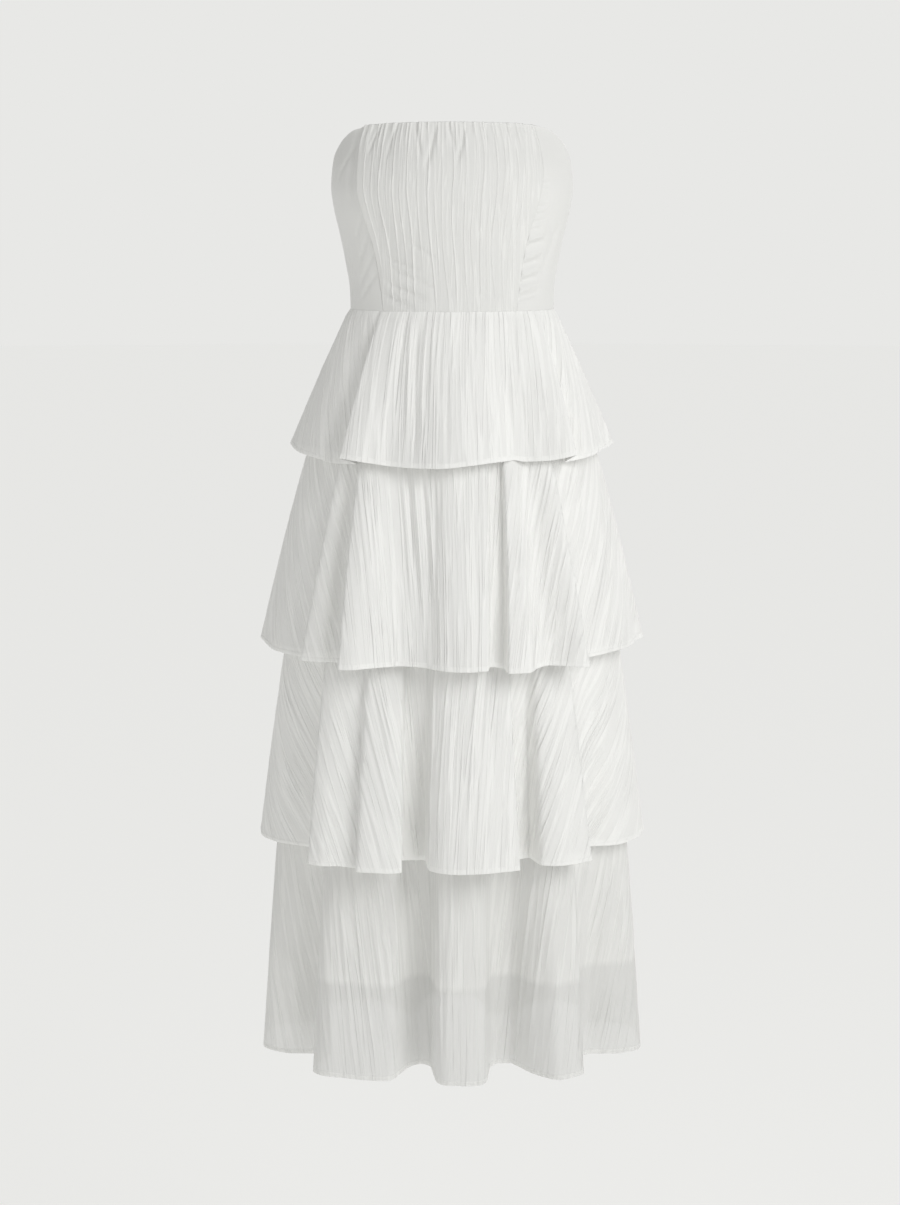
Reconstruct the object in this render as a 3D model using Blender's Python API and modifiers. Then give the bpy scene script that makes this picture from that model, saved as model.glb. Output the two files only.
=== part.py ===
"""Strapless maxi dress with four flounced tiers, open and hollow in its worn shape.

Metres, +Z up, the front faces -Y. The origin is the middle of the bust line, where the wearer's
body holds the bodice up. Left and right are the wearer's, so left is +X. Angles run round the
body in degrees: 0 at centre front, 90 at the left side seam, 180 at centre back, 270 or -90 at
the right side seam. Each panel is a flat grid that is wrapped onto rings round the body.
"""

import math
from collections import namedtuple

import bmesh
import bpy

# Walls and seams; the margin is in degrees
SEAM_GAP = 0.0003
MARGIN = 1.0
BODICE_WALL = 0.0016
SKIRT_WALL = 0.0012
TAPE_WALL = 0.0010

# Levels
WAIST = -0.150
LINING_HEM = -0.979

# Shape of the bodice
BUST_FULLNESS = 0.006
BUST_ANGLE = 44
BUST_ANGLE_SPREAD = 24
BUST_LEVEL = -0.006
BUST_LEVEL_SPREAD = 0.048
BODICE_ROWS = 8
SETTLING_PASSES = 4
SIDE_FRONT_COLUMNS = 8
BACK_COLUMNS = 15

# Gathers of the centre front: how uneven they are, and how much shallower they end at the waist
CENTRE_FRONT_GATHERS = 20
GATHER_DEPTH = 0.0015
GATHER_UNEVEN = 0.25
GATHER_TURN = 2.3
GATHER_FADE = 0.4

# Folds of the skirt
STEPS_PER_FOLD = 3
TIER_ROWS = 4
LINING_HEM_ROWS = 4
LINING_FOLLOWS = 0.86
LINING_INSET = 0.0085

# Zip at centre back
ZIP_TOP_INSET = 0.004
ZIP_END = -0.290
TAPE_WIDTH = 0.024
TAPE_STEP_IN = 0.020
TAPE_COLUMNS = 4
TAPE_ROWS = 7
SLIDER_WIDTH = 0.0056
SLIDER_LENGTH = 0.0090
SLIDER_THICKNESS = 0.0022
SLIDER_FOOT = 0.75
SLIDER_EDGE = 0.0005
SLIDER_TOP_INSET = 0.005
BAIL_STANDOFF = 0.0021
BAIL_RADIUS = 0.0005
BAIL_WIDTH = 0.0046
POST_WIDTH = 0.0009
POST_DEPTH = 0.0015
KNUCKLE_RADIUS = 0.0015
KNUCKLE_BORE = 0.0008
KNUCKLE_WIDTH = 0.0020
PULL_LENGTH = 0.019
PULL_WIDTH = 0.0046
PULL_THICKNESS = 0.0010
PULL_FOOT = 2.2
PULL_EDGE = 0.0004
ROD_SIDES = 20

Ring = namedtuple("Ring", "height half_width front back")
Edge = namedtuple("Edge", "angle height")
Seam = namedtuple("Seam", "height right left")
Fold = namedtuple("Fold", "angle out drop lean", defaults=(0, 0))
Tier = namedtuple("Tier", "seam hem flare front_folds back_folds")
Finish = namedtuple("Finish", "colour roughness")

# The body under the bodice, from the waist up
BODICE_RINGS = (
    Ring(-0.150, 0.1250, 0.0905, 0.0860),
    Ring(-0.125, 0.1258, 0.0925, 0.0872),
    Ring(-0.095, 0.1302, 0.0985, 0.0895),
    Ring(-0.060, 0.1372, 0.1075, 0.0930),
    Ring(-0.025, 0.1450, 0.1160, 0.0965),
    Ring(-0.003, 0.1475, 0.1185, 0.0980),
    Ring(0.020, 0.1458, 0.1175, 0.0980),
    Ring(0.045, 0.1402, 0.1130, 0.0965),
    Ring(0.075, 0.1315, 0.1060, 0.0940),
)

# The top edge: nearly level over the bust, down to the underarm, then level round the back
TOP_EDGE = (
    Edge(0, 0.0725),
    Edge(30, 0.0715),
    Edge(48, 0.0690),
    Edge(60, 0.0640),
    Edge(72, 0.0530),
    Edge(84, 0.0370),
    Edge(96, 0.0270),
    Edge(115, 0.0240),
    Edge(180, 0.0260),
)

# How far the two princess seams stand from centre front
PRINCESS_SEAMS = (
    Seam(-0.150, 0.0830, 0.0775),
    Seam(-0.125, 0.0860, 0.0805),
    Seam(-0.092, 0.0905, 0.0845),
    Seam(-0.060, 0.0970, 0.0905),
    Seam(-0.030, 0.1045, 0.0980),
    Seam(-0.004, 0.1090, 0.1030),
    Seam(0.018, 0.1095, 0.1050),
    Seam(0.045, 0.1080, 0.1030),
    Seam(0.072, 0.1020, 0.0960),
)

# Folds: out is how far each stands off the tier's ring at the hem, drop how far its hem hangs
# below the others, both in millimetres, and lean the degrees it has turned where it starts
TIERS = {
    "tier_1": Tier(
        Ring(WAIST - SEAM_GAP, 0.1255, 0.0910, 0.0865),
        Ring(-0.315, 0.1905, 0.1600, 0.1500),
        0.95,
        (
            Fold(-90, 9, -5),
            Fold(-72, 5, 6),
            Fold(-58, 8, 10),
            Fold(-44, -10, 16),
            Fold(-38, 10, 5),
            Fold(-20, 14, 14),
            Fold(-4, 14, 14),
            Fold(11, -3, 8),
            Fold(18, -4, 6),
            Fold(24, 12, 10),
            Fold(34, 10, 7, 3),
            Fold(44, 9, 4, 8),
            Fold(49, -10, 14, 8),
            Fold(60, 7, 7, 4),
            Fold(74, 6, 1),
            Fold(90, 9, -5),
        ),
        (
            Fold(90, 9, -5),
            Fold(106, 5, 4),
            Fold(120, 9, 8),
            Fold(132, -7, 12),
            Fold(140, 10, 4),
            Fold(156, 14, 10),
            Fold(170, 6, 9),
            Fold(180, 5, 9),
            Fold(190, 7, 9),
            Fold(204, 14, 11),
            Fold(220, 9, 4),
            Fold(228, -8, 13),
            Fold(240, 8, 8),
            Fold(256, 5, 4),
            Fold(270, 9, -5),
        ),
    ),
    "tier_2": Tier(
        Ring(-0.275, 0.1590, 0.1280, 0.1230),
        Ring(-0.566, 0.2305, 0.1860, 0.1760),
        0.85,
        (
            Fold(-90, 9, -9),
            Fold(-72, 1),
            Fold(-57, 5),
            Fold(-44, 12, 0, -3),
            Fold(-38, -4, 1, -5),
            Fold(-31, 19, 1, -5),
            Fold(-23, 21, 0, -3),
            Fold(-12, -11),
            Fold(-7, -7),
            Fold(-1, 17, 1),
            Fold(6, 18),
            Fold(15.5, -4),
            Fold(21, 18, 4),
            Fold(28, 15, 2),
            Fold(40, 26, 1),
            Fold(48.5, -13),
            Fold(62, -10, -1),
            Fold(76, 1, -3),
            Fold(90, 9, -9),
        ),
        (
            Fold(90, 9, -9),
            Fold(107, 0),
            Fold(122, 8),
            Fold(133, -7, 1),
            Fold(141, 20, 1),
            Fold(152, 20),
            Fold(163, -10),
            Fold(170, -6),
            Fold(178, 18, 1),
            Fold(188, 18),
            Fold(197, -9),
            Fold(207, 21, 1),
            Fold(219, 22),
            Fold(228, -9, 1),
            Fold(239, -2),
            Fold(255, 4, -2),
            Fold(270, 9, -9),
        ),
    ),
    "tier_3": Tier(
        Ring(-0.520, 0.1990, 0.1400, 0.1350),
        Ring(-0.813, 0.2320, 0.1720, 0.1660),
        1.0,
        (
            Fold(-90, 13, -2),
            Fold(-83, 11, 1),
            Fold(-71, 1),
            Fold(-56, -27),
            Fold(-43, 25),
            Fold(-33, 28),
            Fold(-28, 22),
            Fold(-22, 38),
            Fold(-13.5, -26),
            Fold(-8, -30),
            Fold(-1.5, 29),
            Fold(7, 32),
            Fold(16, 24),
            Fold(24, -25),
            Fold(29, -24),
            Fold(35, 22),
            Fold(45, 19),
            Fold(56, -28),
            Fold(65, 0),
            Fold(76, 7),
            Fold(90, 13, -2),
        ),
        (
            Fold(90, 13, -2),
            Fold(100, 8),
            Fold(112, 0),
            Fold(123, -26),
            Fold(134, 22),
            Fold(148, 28),
            Fold(157, -24),
            Fold(163, -24),
            Fold(172, 30),
            Fold(186, 32),
            Fold(195, -26),
            Fold(202, -22),
            Fold(211, 30),
            Fold(225, 26),
            Fold(236, -26),
            Fold(249, 0),
            Fold(260, 8, 1),
            Fold(270, 13, -2),
        ),
    ),
    "tier_4": Tier(
        Ring(-0.768, 0.2135, 0.1180, 0.1180),
        Ring(-1.095, 0.2335, 0.1300, 0.1320),
        0.9,
        (
            Fold(-90, 9, 2),
            Fold(-82, 12, 1),
            Fold(-67, -3),
            Fold(-54, -31),
            Fold(-41.5, 21),
            Fold(-29, 31),
            Fold(-20, 22),
            Fold(-12.5, -44),
            Fold(-8, -43),
            Fold(-1, 30),
            Fold(6, 35),
            Fold(15, -30),
            Fold(21, -39),
            Fold(31, 35),
            Fold(40.5, 27),
            Fold(53.5, -30),
            Fold(67, -2),
            Fold(79, 13, 1),
            Fold(90, 9, 2),
        ),
        (
            Fold(90, 9, 2),
            Fold(101, 12, 1),
            Fold(113, -3),
            Fold(125, -30),
            Fold(137, 24),
            Fold(150, 32),
            Fold(160, -40),
            Fold(165, -40),
            Fold(174, 31),
            Fold(180, 28),
            Fold(186, 34),
            Fold(195, -42),
            Fold(207, 30),
            Fold(221, 30),
            Fold(234, -28),
            Fold(247, -3),
            Fold(259, 12, 1),
            Fold(270, 9, 2),
        ),
    ),
}

# Finishes of the parts, with linear colours
CRINKLE_CLOTH = Finish((0.86, 0.86, 0.84, 1), 0.90)
PLAIN_CLOTH = Finish((0.88, 0.88, 0.86, 1), 0.75)
LINING_CLOTH = Finish((0.83, 0.83, 0.82, 1), 0.70)
ZIP_WHITE = Finish((0.80, 0.80, 0.79, 1), 0.45)


def clear_scene():
    for old in list(bpy.data.objects):
        bpy.data.objects.remove(old)


def named_collection(name):
    collection = bpy.data.collections.new(name)
    bpy.context.scene.collection.children.link(collection)
    return collection


def material(name, finish):
    made = bpy.data.materials.new(name)
    made.use_nodes = True
    shader = made.node_tree.nodes["Principled BSDF"]
    shader.inputs["Base Color"].default_value = finish.colour
    shader.inputs["Roughness"].default_value = finish.roughness
    shader.inputs["Metallic"].default_value = 0
    made.diffuse_color = finish.colour
    return made


def smooth_curve(places, values, at):
    """The value at a place on a smooth curve through (places, values); places ascend."""
    at = min(max(at, places[0]), places[-1])
    last = len(places) - 2
    i = next((n for n in range(last) if at < places[n + 1]), last)

    def slope(n):
        before, after = max(n - 1, 0), min(n + 1, len(places) - 1)
        return (values[after] - values[before]) / (places[after] - places[before])

    width = places[i + 1] - places[i]
    u = (at - places[i]) / width
    start = values[i] * (1 + 2 * u) * (1 - u) ** 2 + slope(i) * width * u * (1 - u) ** 2
    end = values[i + 1] * (3 - 2 * u) * u**2 - slope(i + 1) * width * (1 - u) * u**2
    return start + end


def column_of(rows, name):
    return [getattr(row, name) for row in rows]


def read(rows, by, name, at):
    return smooth_curve(column_of(rows, by), column_of(rows, name), at)


def ring_between(low, high, share):
    """The ring at a share of the way from one ring to another."""
    return Ring(*(a + (b - a) * share for a, b in zip(low, high)))


def on_ring(ring, angle, out, height):
    """The point at an angle on a ring, moved out square to it."""
    turn = math.radians(angle)
    depth = ring.front if math.cos(turn) > 0 else ring.back
    square = math.hypot(math.sin(turn) / ring.half_width, math.cos(turn) / depth)
    x = ring.half_width * math.sin(turn) + out * math.sin(turn) / ring.half_width / square
    y = -depth * math.cos(turn) - out * math.cos(turn) / depth / square
    return x, y, height


def degrees_for(ring, angle, length):
    """The degrees that a short length takes up on a ring."""
    turn = math.radians(angle)
    depth = ring.front if math.cos(turn) > 0 else ring.back
    per_radian = math.hypot(ring.half_width * math.cos(turn), depth * math.sin(turn))
    return math.degrees(length / per_radian)


def panel(name, columns, rows, place, wall, finish, collection):
    """A piece of cloth: a flat grid, each crossing placed on the body, then given its wall."""
    grid = bmesh.new()
    bmesh.ops.create_grid(grid, x_segments=len(columns) - 1, y_segments=len(rows) - 1, size=1)
    for vertex in grid.verts:
        column = columns[round((vertex.co.x + 1) / 2 * (len(columns) - 1))]
        row = rows[round((vertex.co.y + 1) / 2 * (len(rows) - 1))]
        vertex.co = place(column, row)
    mesh = bpy.data.meshes.new(name)
    grid.to_mesh(mesh)
    grid.free()
    mesh.shade_smooth()
    mesh.materials.append(finish)
    cloth = bpy.data.objects.new(name, mesh)
    collection.objects.link(cloth)
    thicken = cloth.modifiers.new("Wall", "SOLIDIFY")
    thicken.thickness = wall
    thicken.offset = -1
    thicken.use_even_offset = True
    return cloth


def even_steps(count):
    return [n / count for n in range(count + 1)]


def with_margins(columns, margin):
    """Adds a narrow column beside each seam, so that the wall's edges there stay square to it."""
    return [columns[0], columns[0] + margin, *columns[1:-1], columns[-1] - margin, columns[-1]]


def bodice_ring(height):
    sizes = (read(BODICE_RINGS, "height", name, height) for name in Ring._fields[1:])
    return Ring(height, *sizes)


def top_height(angle):
    return read(TOP_EDGE, "angle", "height", abs(angle))


def bust_fullness(angle, height):
    across = (abs(angle) - BUST_ANGLE) / BUST_ANGLE_SPREAD
    up = (height - BUST_LEVEL) / BUST_LEVEL_SPREAD
    return BUST_FULLNESS * math.exp(-(across**2) - up**2)


def princess_angle(side, height):
    """The angle of a princess seam; side is -1 for the right one and 1 for the left one."""
    reach = read(PRINCESS_SEAMS, "height", "left" if side > 0 else "right", height)
    return side * math.degrees(math.asin(reach / bodice_ring(height).half_width))


def bodice_place(start, end, gathers):
    """Places a bodice panel between two seams, each given as an angle at a height."""

    def place(across, up):
        height = WAIST + up * (top_height(0) - WAIST)
        for _ in range(SETTLING_PASSES):
            ring = bodice_ring(height)
            first, last = start(height), end(height)
            first += degrees_for(ring, first, SEAM_GAP / 2)
            last -= degrees_for(ring, last, SEAM_GAP / 2)
            angle = first + (last - first) * across
            height = WAIST + up * (top_height(min(abs(angle), 360 - abs(angle))) - WAIST)
        out = bust_fullness(angle, height)
        if gathers:
            step = round(across * 2 * gathers)
            shallower = GATHER_UNEVEN * (1 + math.sin(step * GATHER_TURN)) + GATHER_FADE * (1 - up)
            out += GATHER_DEPTH * (1 - shallower) * (step % 2)
        return on_ring(bodice_ring(height), angle, out, height)

    return place


def build_bodice(collection):
    crinkle = material("bodice_crinkle_cloth", CRINKLE_CLOTH)
    plain = material("bodice_plain_cloth", PLAIN_CLOTH)

    def right_princess(height):
        return princess_angle(-1, height)

    def left_princess(height):
        return princess_angle(1, height)

    def fixed(angle):
        return lambda height: angle

    pieces = (
        ("bodice_centre_front", right_princess, left_princess, 2 * CENTRE_FRONT_GATHERS, crinkle),
        ("bodice_side_front_right", fixed(-90), right_princess, SIDE_FRONT_COLUMNS, plain),
        ("bodice_side_front_left", left_princess, fixed(90), SIDE_FRONT_COLUMNS, plain),
        ("bodice_back_left", fixed(90), fixed(180), BACK_COLUMNS, plain),
        ("bodice_back_right", fixed(180), fixed(270), BACK_COLUMNS, plain),
    )
    for name, start, end, columns, finish in pieces:
        gathers = CENTRE_FRONT_GATHERS if finish is crinkle else 0
        place = bodice_place(start, end, gathers)
        steps = with_margins(even_steps(columns), MARGIN / 90), even_steps(BODICE_ROWS)
        panel(name, *steps, place, BODICE_WALL, finish, collection)


def fold_at(folds, angle):
    """(out, drop, lean) of a tier's folds at an angle, each turning smoothly into the next."""
    last = len(folds) - 2
    i = next((n for n in range(last) if angle < folds[n + 1].angle), last)
    here, after = folds[i], folds[i + 1]
    share = (angle - here.angle) / (after.angle - here.angle)
    ease = (1 - math.cos(math.pi * min(max(share, 0), 1))) / 2
    out, drop, lean = (a + (b - a) * ease for a, b in zip(here[1:], after[1:]))
    return out / 1000, drop / 1000, lean


def tier_place(tier, folds, first, last):
    """Places a tier panel between two side or back seams; up runs from the hem to the top seam."""

    def place(angle, up):
        down = 1 - up
        out, drop, lean = fold_at(folds, angle)
        ring = ring_between(tier.seam, tier.hem, down**tier.flare)
        height = tier.seam.height + (tier.hem.height - tier.seam.height) * down
        turned = angle + lean * up
        if angle in (first, last):
            inward = 1 if angle == first else -1
            turned += inward * degrees_for(ring, turned, SEAM_GAP / 2)
        return on_ring(ring, turned, out * down, height - drop * down)

    return place


def fold_columns(folds, first, last):
    """The angles of a panel's columns: an equal number of steps from each fold to the next."""
    columns = [folds[0].angle]
    for here, after in zip(folds, folds[1:]):
        step = (after.angle - here.angle) / STEPS_PER_FOLD
        columns += [here.angle + step * n for n in range(1, STEPS_PER_FOLD)]
        columns.append(after.angle)
    return with_margins([angle for angle in columns if first <= angle <= last], MARGIN)


def build_tiers(collection):
    for number, (name, tier) in enumerate(TIERS.items()):
        finish = material(f"{name}_crinkle_cloth", CRINKLE_CLOTH)
        halves = [("front", tier.front_folds, -90, 90)]
        if number == 0:
            halves.append(("back_left", tier.back_folds, 90, 180))
            halves.append(("back_right", tier.back_folds, 180, 270))
        else:
            halves.append(("back", tier.back_folds, 90, 270))
        for side, folds, first, last in halves:
            columns = fold_columns(folds, first, last)
            place = tier_place(tier, folds, first, last)
            steps = columns, even_steps(TIER_ROWS)
            panel(f"{name}_{side}", *steps, place, SKIRT_WALL, finish, collection)


def lining_rings():
    """The rings that the lining passes, from the waist to its hem, each with its gap to them."""
    last = TIERS["tier_4"]
    share = (last.seam.height - LINING_HEM) / (last.seam.height - last.hem.height)
    hem = ring_between(last.seam, last.hem, share**last.flare)._replace(height=LINING_HEM)
    seams = [(tier.seam, SKIRT_WALL + SEAM_GAP) for tier in TIERS.values()]
    return [*seams, (hem, LINING_INSET)]


def lining_ring(height):
    """The lining touches the inside of each tier's top seam and runs straight between them."""
    rings = lining_rings()
    below = next((n for n, (ring, _) in enumerate(rings) if n and height >= ring.height), -1)
    (upper, upper_gap), (lower, lower_gap) = rings[below - 1], rings[below]
    share = (upper.height - height) / (upper.height - lower.height)
    gap = upper_gap + (lower_gap - upper_gap) * math.sqrt(max(share, 0))
    sizes = (size - gap for size in ring_between(upper, lower, share)[1:])
    return Ring(height, *sizes)


def lining_place(folds, first, last):
    tier = TIERS["tier_4"]

    def place(angle, height):
        down = (tier.seam.height - height) / (tier.seam.height - tier.hem.height)
        out = fold_at(folds, angle)[0] * max(down, 0) * LINING_FOLLOWS
        ring = lining_ring(height)
        turned = angle
        if angle in (first, last):
            inward = 1 if angle == first else -1
            turned += inward * degrees_for(ring, turned, SEAM_GAP / 2)
        return on_ring(ring, turned, out, height)

    return place


def build_lining(collection):
    finish = material("lining_cloth", LINING_CLOTH)
    tier = TIERS["tier_4"]
    below = [LINING_HEM + (tier.seam.height - LINING_HEM) * up for up in even_steps(LINING_HEM_ROWS)]
    rows = below + [TIERS[name].seam.height for name in ("tier_3", "tier_2", "tier_1")]
    halves = (
        ("front", tier.front_folds, -90, 90),
        ("back_left", tier.back_folds, 90, 180),
        ("back_right", tier.back_folds, 180, 270),
    )
    for side, folds, first, last in halves:
        columns = fold_columns(folds, first, last)
        place = lining_place(folds, first, last)
        panel(f"lining_{side}", columns, rows, place, SKIRT_WALL, finish, collection)


def zip_top():
    return top_height(180) - ZIP_TOP_INSET


def tape_rows():
    """Heights up the tape, with the waist seam stepped over in one go."""
    skirt_end, bodice_start = WAIST - SEAM_GAP, WAIST + TAPE_STEP_IN
    below = [ZIP_END + (skirt_end - ZIP_END) * step for step in even_steps(TAPE_ROWS)]
    return below + [bodice_start + (zip_top() - bodice_start) * step for step in even_steps(TAPE_ROWS)]


def tape_place(across, height):
    """The tape lies against the inside of the bodice back, and below the waist of the lining."""
    inside = BODICE_WALL if height > WAIST else SKIRT_WALL
    ring = bodice_ring(height) if height > WAIST else lining_ring(height)
    angle = 180 - degrees_for(ring, 180, TAPE_WIDTH) * (0.5 - across)
    return on_ring(ring, angle, -inside - 2 * SEAM_GAP, height)


def block(name, size, centre, finish, collection, foot=1.0):
    """A box; foot widens or narrows its lower end."""
    shape = bmesh.new()
    bmesh.ops.create_cube(shape, size=1)
    for vertex in shape.verts:
        spread = foot if vertex.co.z < 0 else 1.0
        vertex.co.x *= size[0] * spread
        vertex.co.y *= size[1]
        vertex.co.z *= size[2]
    return solid_object(name, shape, centre, finish, collection)


def rod(name, radius, length, centre, finish, collection):
    """A round bar along X."""
    shape = bmesh.new()
    bmesh.ops.create_cone(
        shape, cap_ends=True, segments=ROD_SIDES, radius1=radius, radius2=radius, depth=length
    )
    for vertex in shape.verts:
        x, y, z = vertex.co
        vertex.co = (z, y, -x)
    return solid_object(name, shape, centre, finish, collection)


def solid_object(name, shape, centre, finish, collection):
    mesh = bpy.data.meshes.new(name)
    shape.to_mesh(mesh)
    shape.free()
    mesh.materials.append(finish)
    made = bpy.data.objects.new(name, mesh)
    made.location = centre
    collection.objects.link(made)
    return made


def combine(target, helper, operation):
    """Joins or cuts with a helper, which stays hidden as a wire."""
    step = target.modifiers.new(helper.name, "BOOLEAN")
    step.operation = operation
    step.object = helper
    helper.hide_render = True
    helper.display_type = "WIRE"


def round_edges(target, width):
    bevel = target.modifiers.new("Edges", "BEVEL")
    bevel.width = width
    bevel.segments = 2
    bevel.limit_method = "ANGLE"


def build_zip(collection, helpers):
    finish = material("zip_white", ZIP_WHITE)
    panel(
        "zip_tape", even_steps(TAPE_COLUMNS), tape_rows(), tape_place, TAPE_WALL, finish, collection
    )

    middle = top_height(180) - SLIDER_TOP_INSET - SLIDER_LENGTH / 2
    seat = bodice_ring(top_height(180)).back + SEAM_GAP
    face = seat + SLIDER_THICKNESS
    bail = (0, face + BAIL_STANDOFF, middle + SLIDER_LENGTH / 4)

    size = (SLIDER_WIDTH, SLIDER_THICKNESS, SLIDER_LENGTH)
    centre = (0, seat + SLIDER_THICKNESS / 2, middle)
    slider = block("zip_slider", size, centre, finish, collection, foot=SLIDER_FOOT)
    round_edges(slider, SLIDER_EDGE)
    bar = rod("zip_bail_bar", BAIL_RADIUS, BAIL_WIDTH - POST_WIDTH, bail, finish, helpers)
    combine(slider, bar, "UNION")
    tip = BAIL_STANDOFF + POST_DEPTH / 2
    reach = tip + SLIDER_THICKNESS / 2
    for side in (-1, 1):
        size = (POST_WIDTH, reach, POST_DEPTH)
        x = side * (BAIL_WIDTH - POST_WIDTH) / 2
        centre = (x, face + tip - reach / 2, bail[2])
        post = block(f"zip_bail_post_{side}", size, centre, finish, helpers)
        combine(slider, post, "UNION")

    pull = rod("zip_pull", KNUCKLE_RADIUS, KNUCKLE_WIDTH, bail, finish, collection)
    size = (PULL_WIDTH / PULL_FOOT, PULL_THICKNESS, PULL_LENGTH)
    centre = (0, bail[1], bail[2] - KNUCKLE_RADIUS / 2 - PULL_LENGTH / 2)
    leaf = block("zip_pull_leaf", size, centre, finish, helpers, foot=PULL_FOOT)
    round_edges(leaf, PULL_EDGE)
    combine(pull, leaf, "UNION")
    bore = rod("zip_pull_bore", KNUCKLE_BORE, 2 * KNUCKLE_WIDTH, bail, finish, helpers)
    combine(pull, bore, "DIFFERENCE")


def main():
    clear_scene()
    dress = named_collection("maxi_dress")
    helpers = named_collection("cutters")
    build_bodice(dress)
    build_tiers(dress)
    build_lining(dress)
    build_zip(dress, helpers)


if __name__ == "__main__":
    main()
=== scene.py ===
"""White strapless maxi dress with four flounces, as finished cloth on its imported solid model.

Metres, +Z up, the front faces -Y. Left and right are the wearer's, so left is +X. Angles run round
the body in degrees: 0 at centre front, 90 at the left side seam, 180 at centre back, 270 or -90 at
the right side seam. Every flounce is cut flat with its grain down the middle and then hung, so its
pressed wrinkles stay on the grain and meet at a slant at the side seams.
"""

import math
from collections import namedtuple

import bmesh
import bpy
import numpy as np
from bpy.props import FloatProperty, FloatVectorProperty, PointerProperty
from mathutils import Matrix, Vector, noise


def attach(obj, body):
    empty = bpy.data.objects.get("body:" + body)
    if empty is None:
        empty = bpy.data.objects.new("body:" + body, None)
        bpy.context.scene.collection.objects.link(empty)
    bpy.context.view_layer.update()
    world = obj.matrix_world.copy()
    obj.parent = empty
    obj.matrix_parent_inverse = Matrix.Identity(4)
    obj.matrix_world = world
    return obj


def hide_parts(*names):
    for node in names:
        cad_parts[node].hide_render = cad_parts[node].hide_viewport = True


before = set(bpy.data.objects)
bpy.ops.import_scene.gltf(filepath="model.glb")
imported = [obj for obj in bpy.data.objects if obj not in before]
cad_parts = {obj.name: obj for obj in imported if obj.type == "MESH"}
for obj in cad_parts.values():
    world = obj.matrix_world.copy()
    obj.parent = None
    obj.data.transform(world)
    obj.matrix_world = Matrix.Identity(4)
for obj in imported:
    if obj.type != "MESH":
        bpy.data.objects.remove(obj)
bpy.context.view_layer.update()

bl_info = {
    "name": "Tiered Maxi Dress",
    "version": (1, 0, 0),
    "blender": (4, 5, 0),
    "location": "View3D > Sidebar > Dress",
    "description": "Makes a strapless dress with flounces of crinkle cloth",
    "category": "Object",
}

# Millimetres in a metre: the tables below give folds, ridges, drags and creases in millimetres
MM = 1000

# Levels of the waist seam and the lining's hem
WAIST = -0.150
LINING_HEM = -0.979

# How far inside the corners of its flat cut a flounce's grid ends, and the share of the way up to
# its seam where the row lies that is next to the last one
CORNER_INSET = 0.0006
SEAM_ROW = 0.9994

# Bust: how far it stands out, and the angle and level of its middle with how far it spreads
BUST_FULLNESS = 0.006
BUST_ANGLE = 44
BUST_ANGLE_SPREAD = 24
BUST_LEVEL = -0.006
BUST_LEVEL_SPREAD = 0.048

# Centre front: how far it stands up beside its right seam; how many gathers its top edge has, how
# much they fan out on their way down, and the share of the way across where they run straight; how
# far its ridges sway, and their heights and half widths as shares of those in their table
RIGHT_LIP = 0.0020
GATHERS = 34
GATHERS_FAN = 0.10
GATHERS_STRAIGHT = 0.55
RIDGE_SWAY = 0.0006
RIDGE_RISE = 1.1
RIDGE_REACH = 0.62

# Sewing of a flounce: how high its gathers stand and how far down from the seam they run; how far
# its doubled hem stands up, puckers and is dented by its stitching, and how far inside the hem's
# width that runs; how far its edge, its side seams and the seam at its top dip in
GATHER_RISE = 0.0009
GATHER_REACH = 0.045
HEM_RISE = 0.00035
HEM_PUCKER = 0.00025
STITCH_DENT = 0.0003
STITCH_INSET = 0.0008
EDGE_DIP = 0.00025
SIDE_DIP = 0.0008
SEAM_DIP = 0.0002

# How much lower a flounce's wrinkles are at its side seams and from how far in, and on its hem
SIDE_FLATTER = 0.65
SIDE_REACH = 0.010
HEM_FLATTER = 0.55

# How closely the lining follows the bottom flounce's folds, how far inside its hem and inside each
# flounce's seam it hangs, and the width of its own hem
LINING_FOLLOWS = 0.86
LINING_INSET = 0.0085
LINING_SEAM_INSET = 0.0015
LINING_HEM_WIDTH = 0.0143

# How white a cloth is where other cloth lies behind it, from 0 for none to 1 for doubled cloth, and
# how white the doubled hem of the sheer cloth is; the level of the lining's edge seen through the
# bottom flounce, below which the cloth is darkened as painted shade for the shaded inside seen
# through it, and the place to the right beyond which that flank lies in shade, so that no painted
# edge is put there; how far behind the sheer cloth its hem's turning lies, in thicknesses of that
# cloth
BACKED = 0.5
SHEER_HEM = 0.6
TURNING_BEHIND = 1.6
LINING_SHOWS_TO = -0.976
SHADED_FLANK_FROM = -0.150

# A cloth's tone as a share of its colour: where its weave is looser; where nothing lies behind it,
# which is painted shade for the shaded inside seen through; and where it is doubled, as at its hems,
# or pinched into raised crests, where the whitening is painted highlight
LOOSE_TONE = 0.98
BARE_PAINTED_SHADE_TONE = 0.915
DOUBLED_AND_CREST_HIGHLIGHT_TONE = 1.055

# Zip at centre back: its teeth show in the seam from the waist up to the slider. A tooth's height is
# a share of the pitch, and its middle lies aside by a share of its reach and in by one of its depth
TOOTH_PITCH = 0.0021
TOOTH_REACH = 0.0022
TOOTH_DEPTH = 0.0009
TOOTH_HEIGHT = 0.42
TOOTH_ASIDE = 0.27
TOOTH_IN = 0.6
TEETH_END_BELOW_TOP = 0.016
ZIP_STITCH_INSET = 0.006

# Camera: its lens in millimetres, and how far it stands to the side and below the bust line
LENS = 69.775
CAMERA_ASIDE = -0.0025
CAMERA_HEIGHT = -0.0181

# Level that the key light is turned to, the angle that the lights behind and beside the dress fill,
# and how high they stand
KEY_AIM = -0.35
SOFT_LIGHT_WIDTH = math.radians(30)
BACK_RISE = math.radians(30)
FILL_RISE = math.radians(8)

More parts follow.
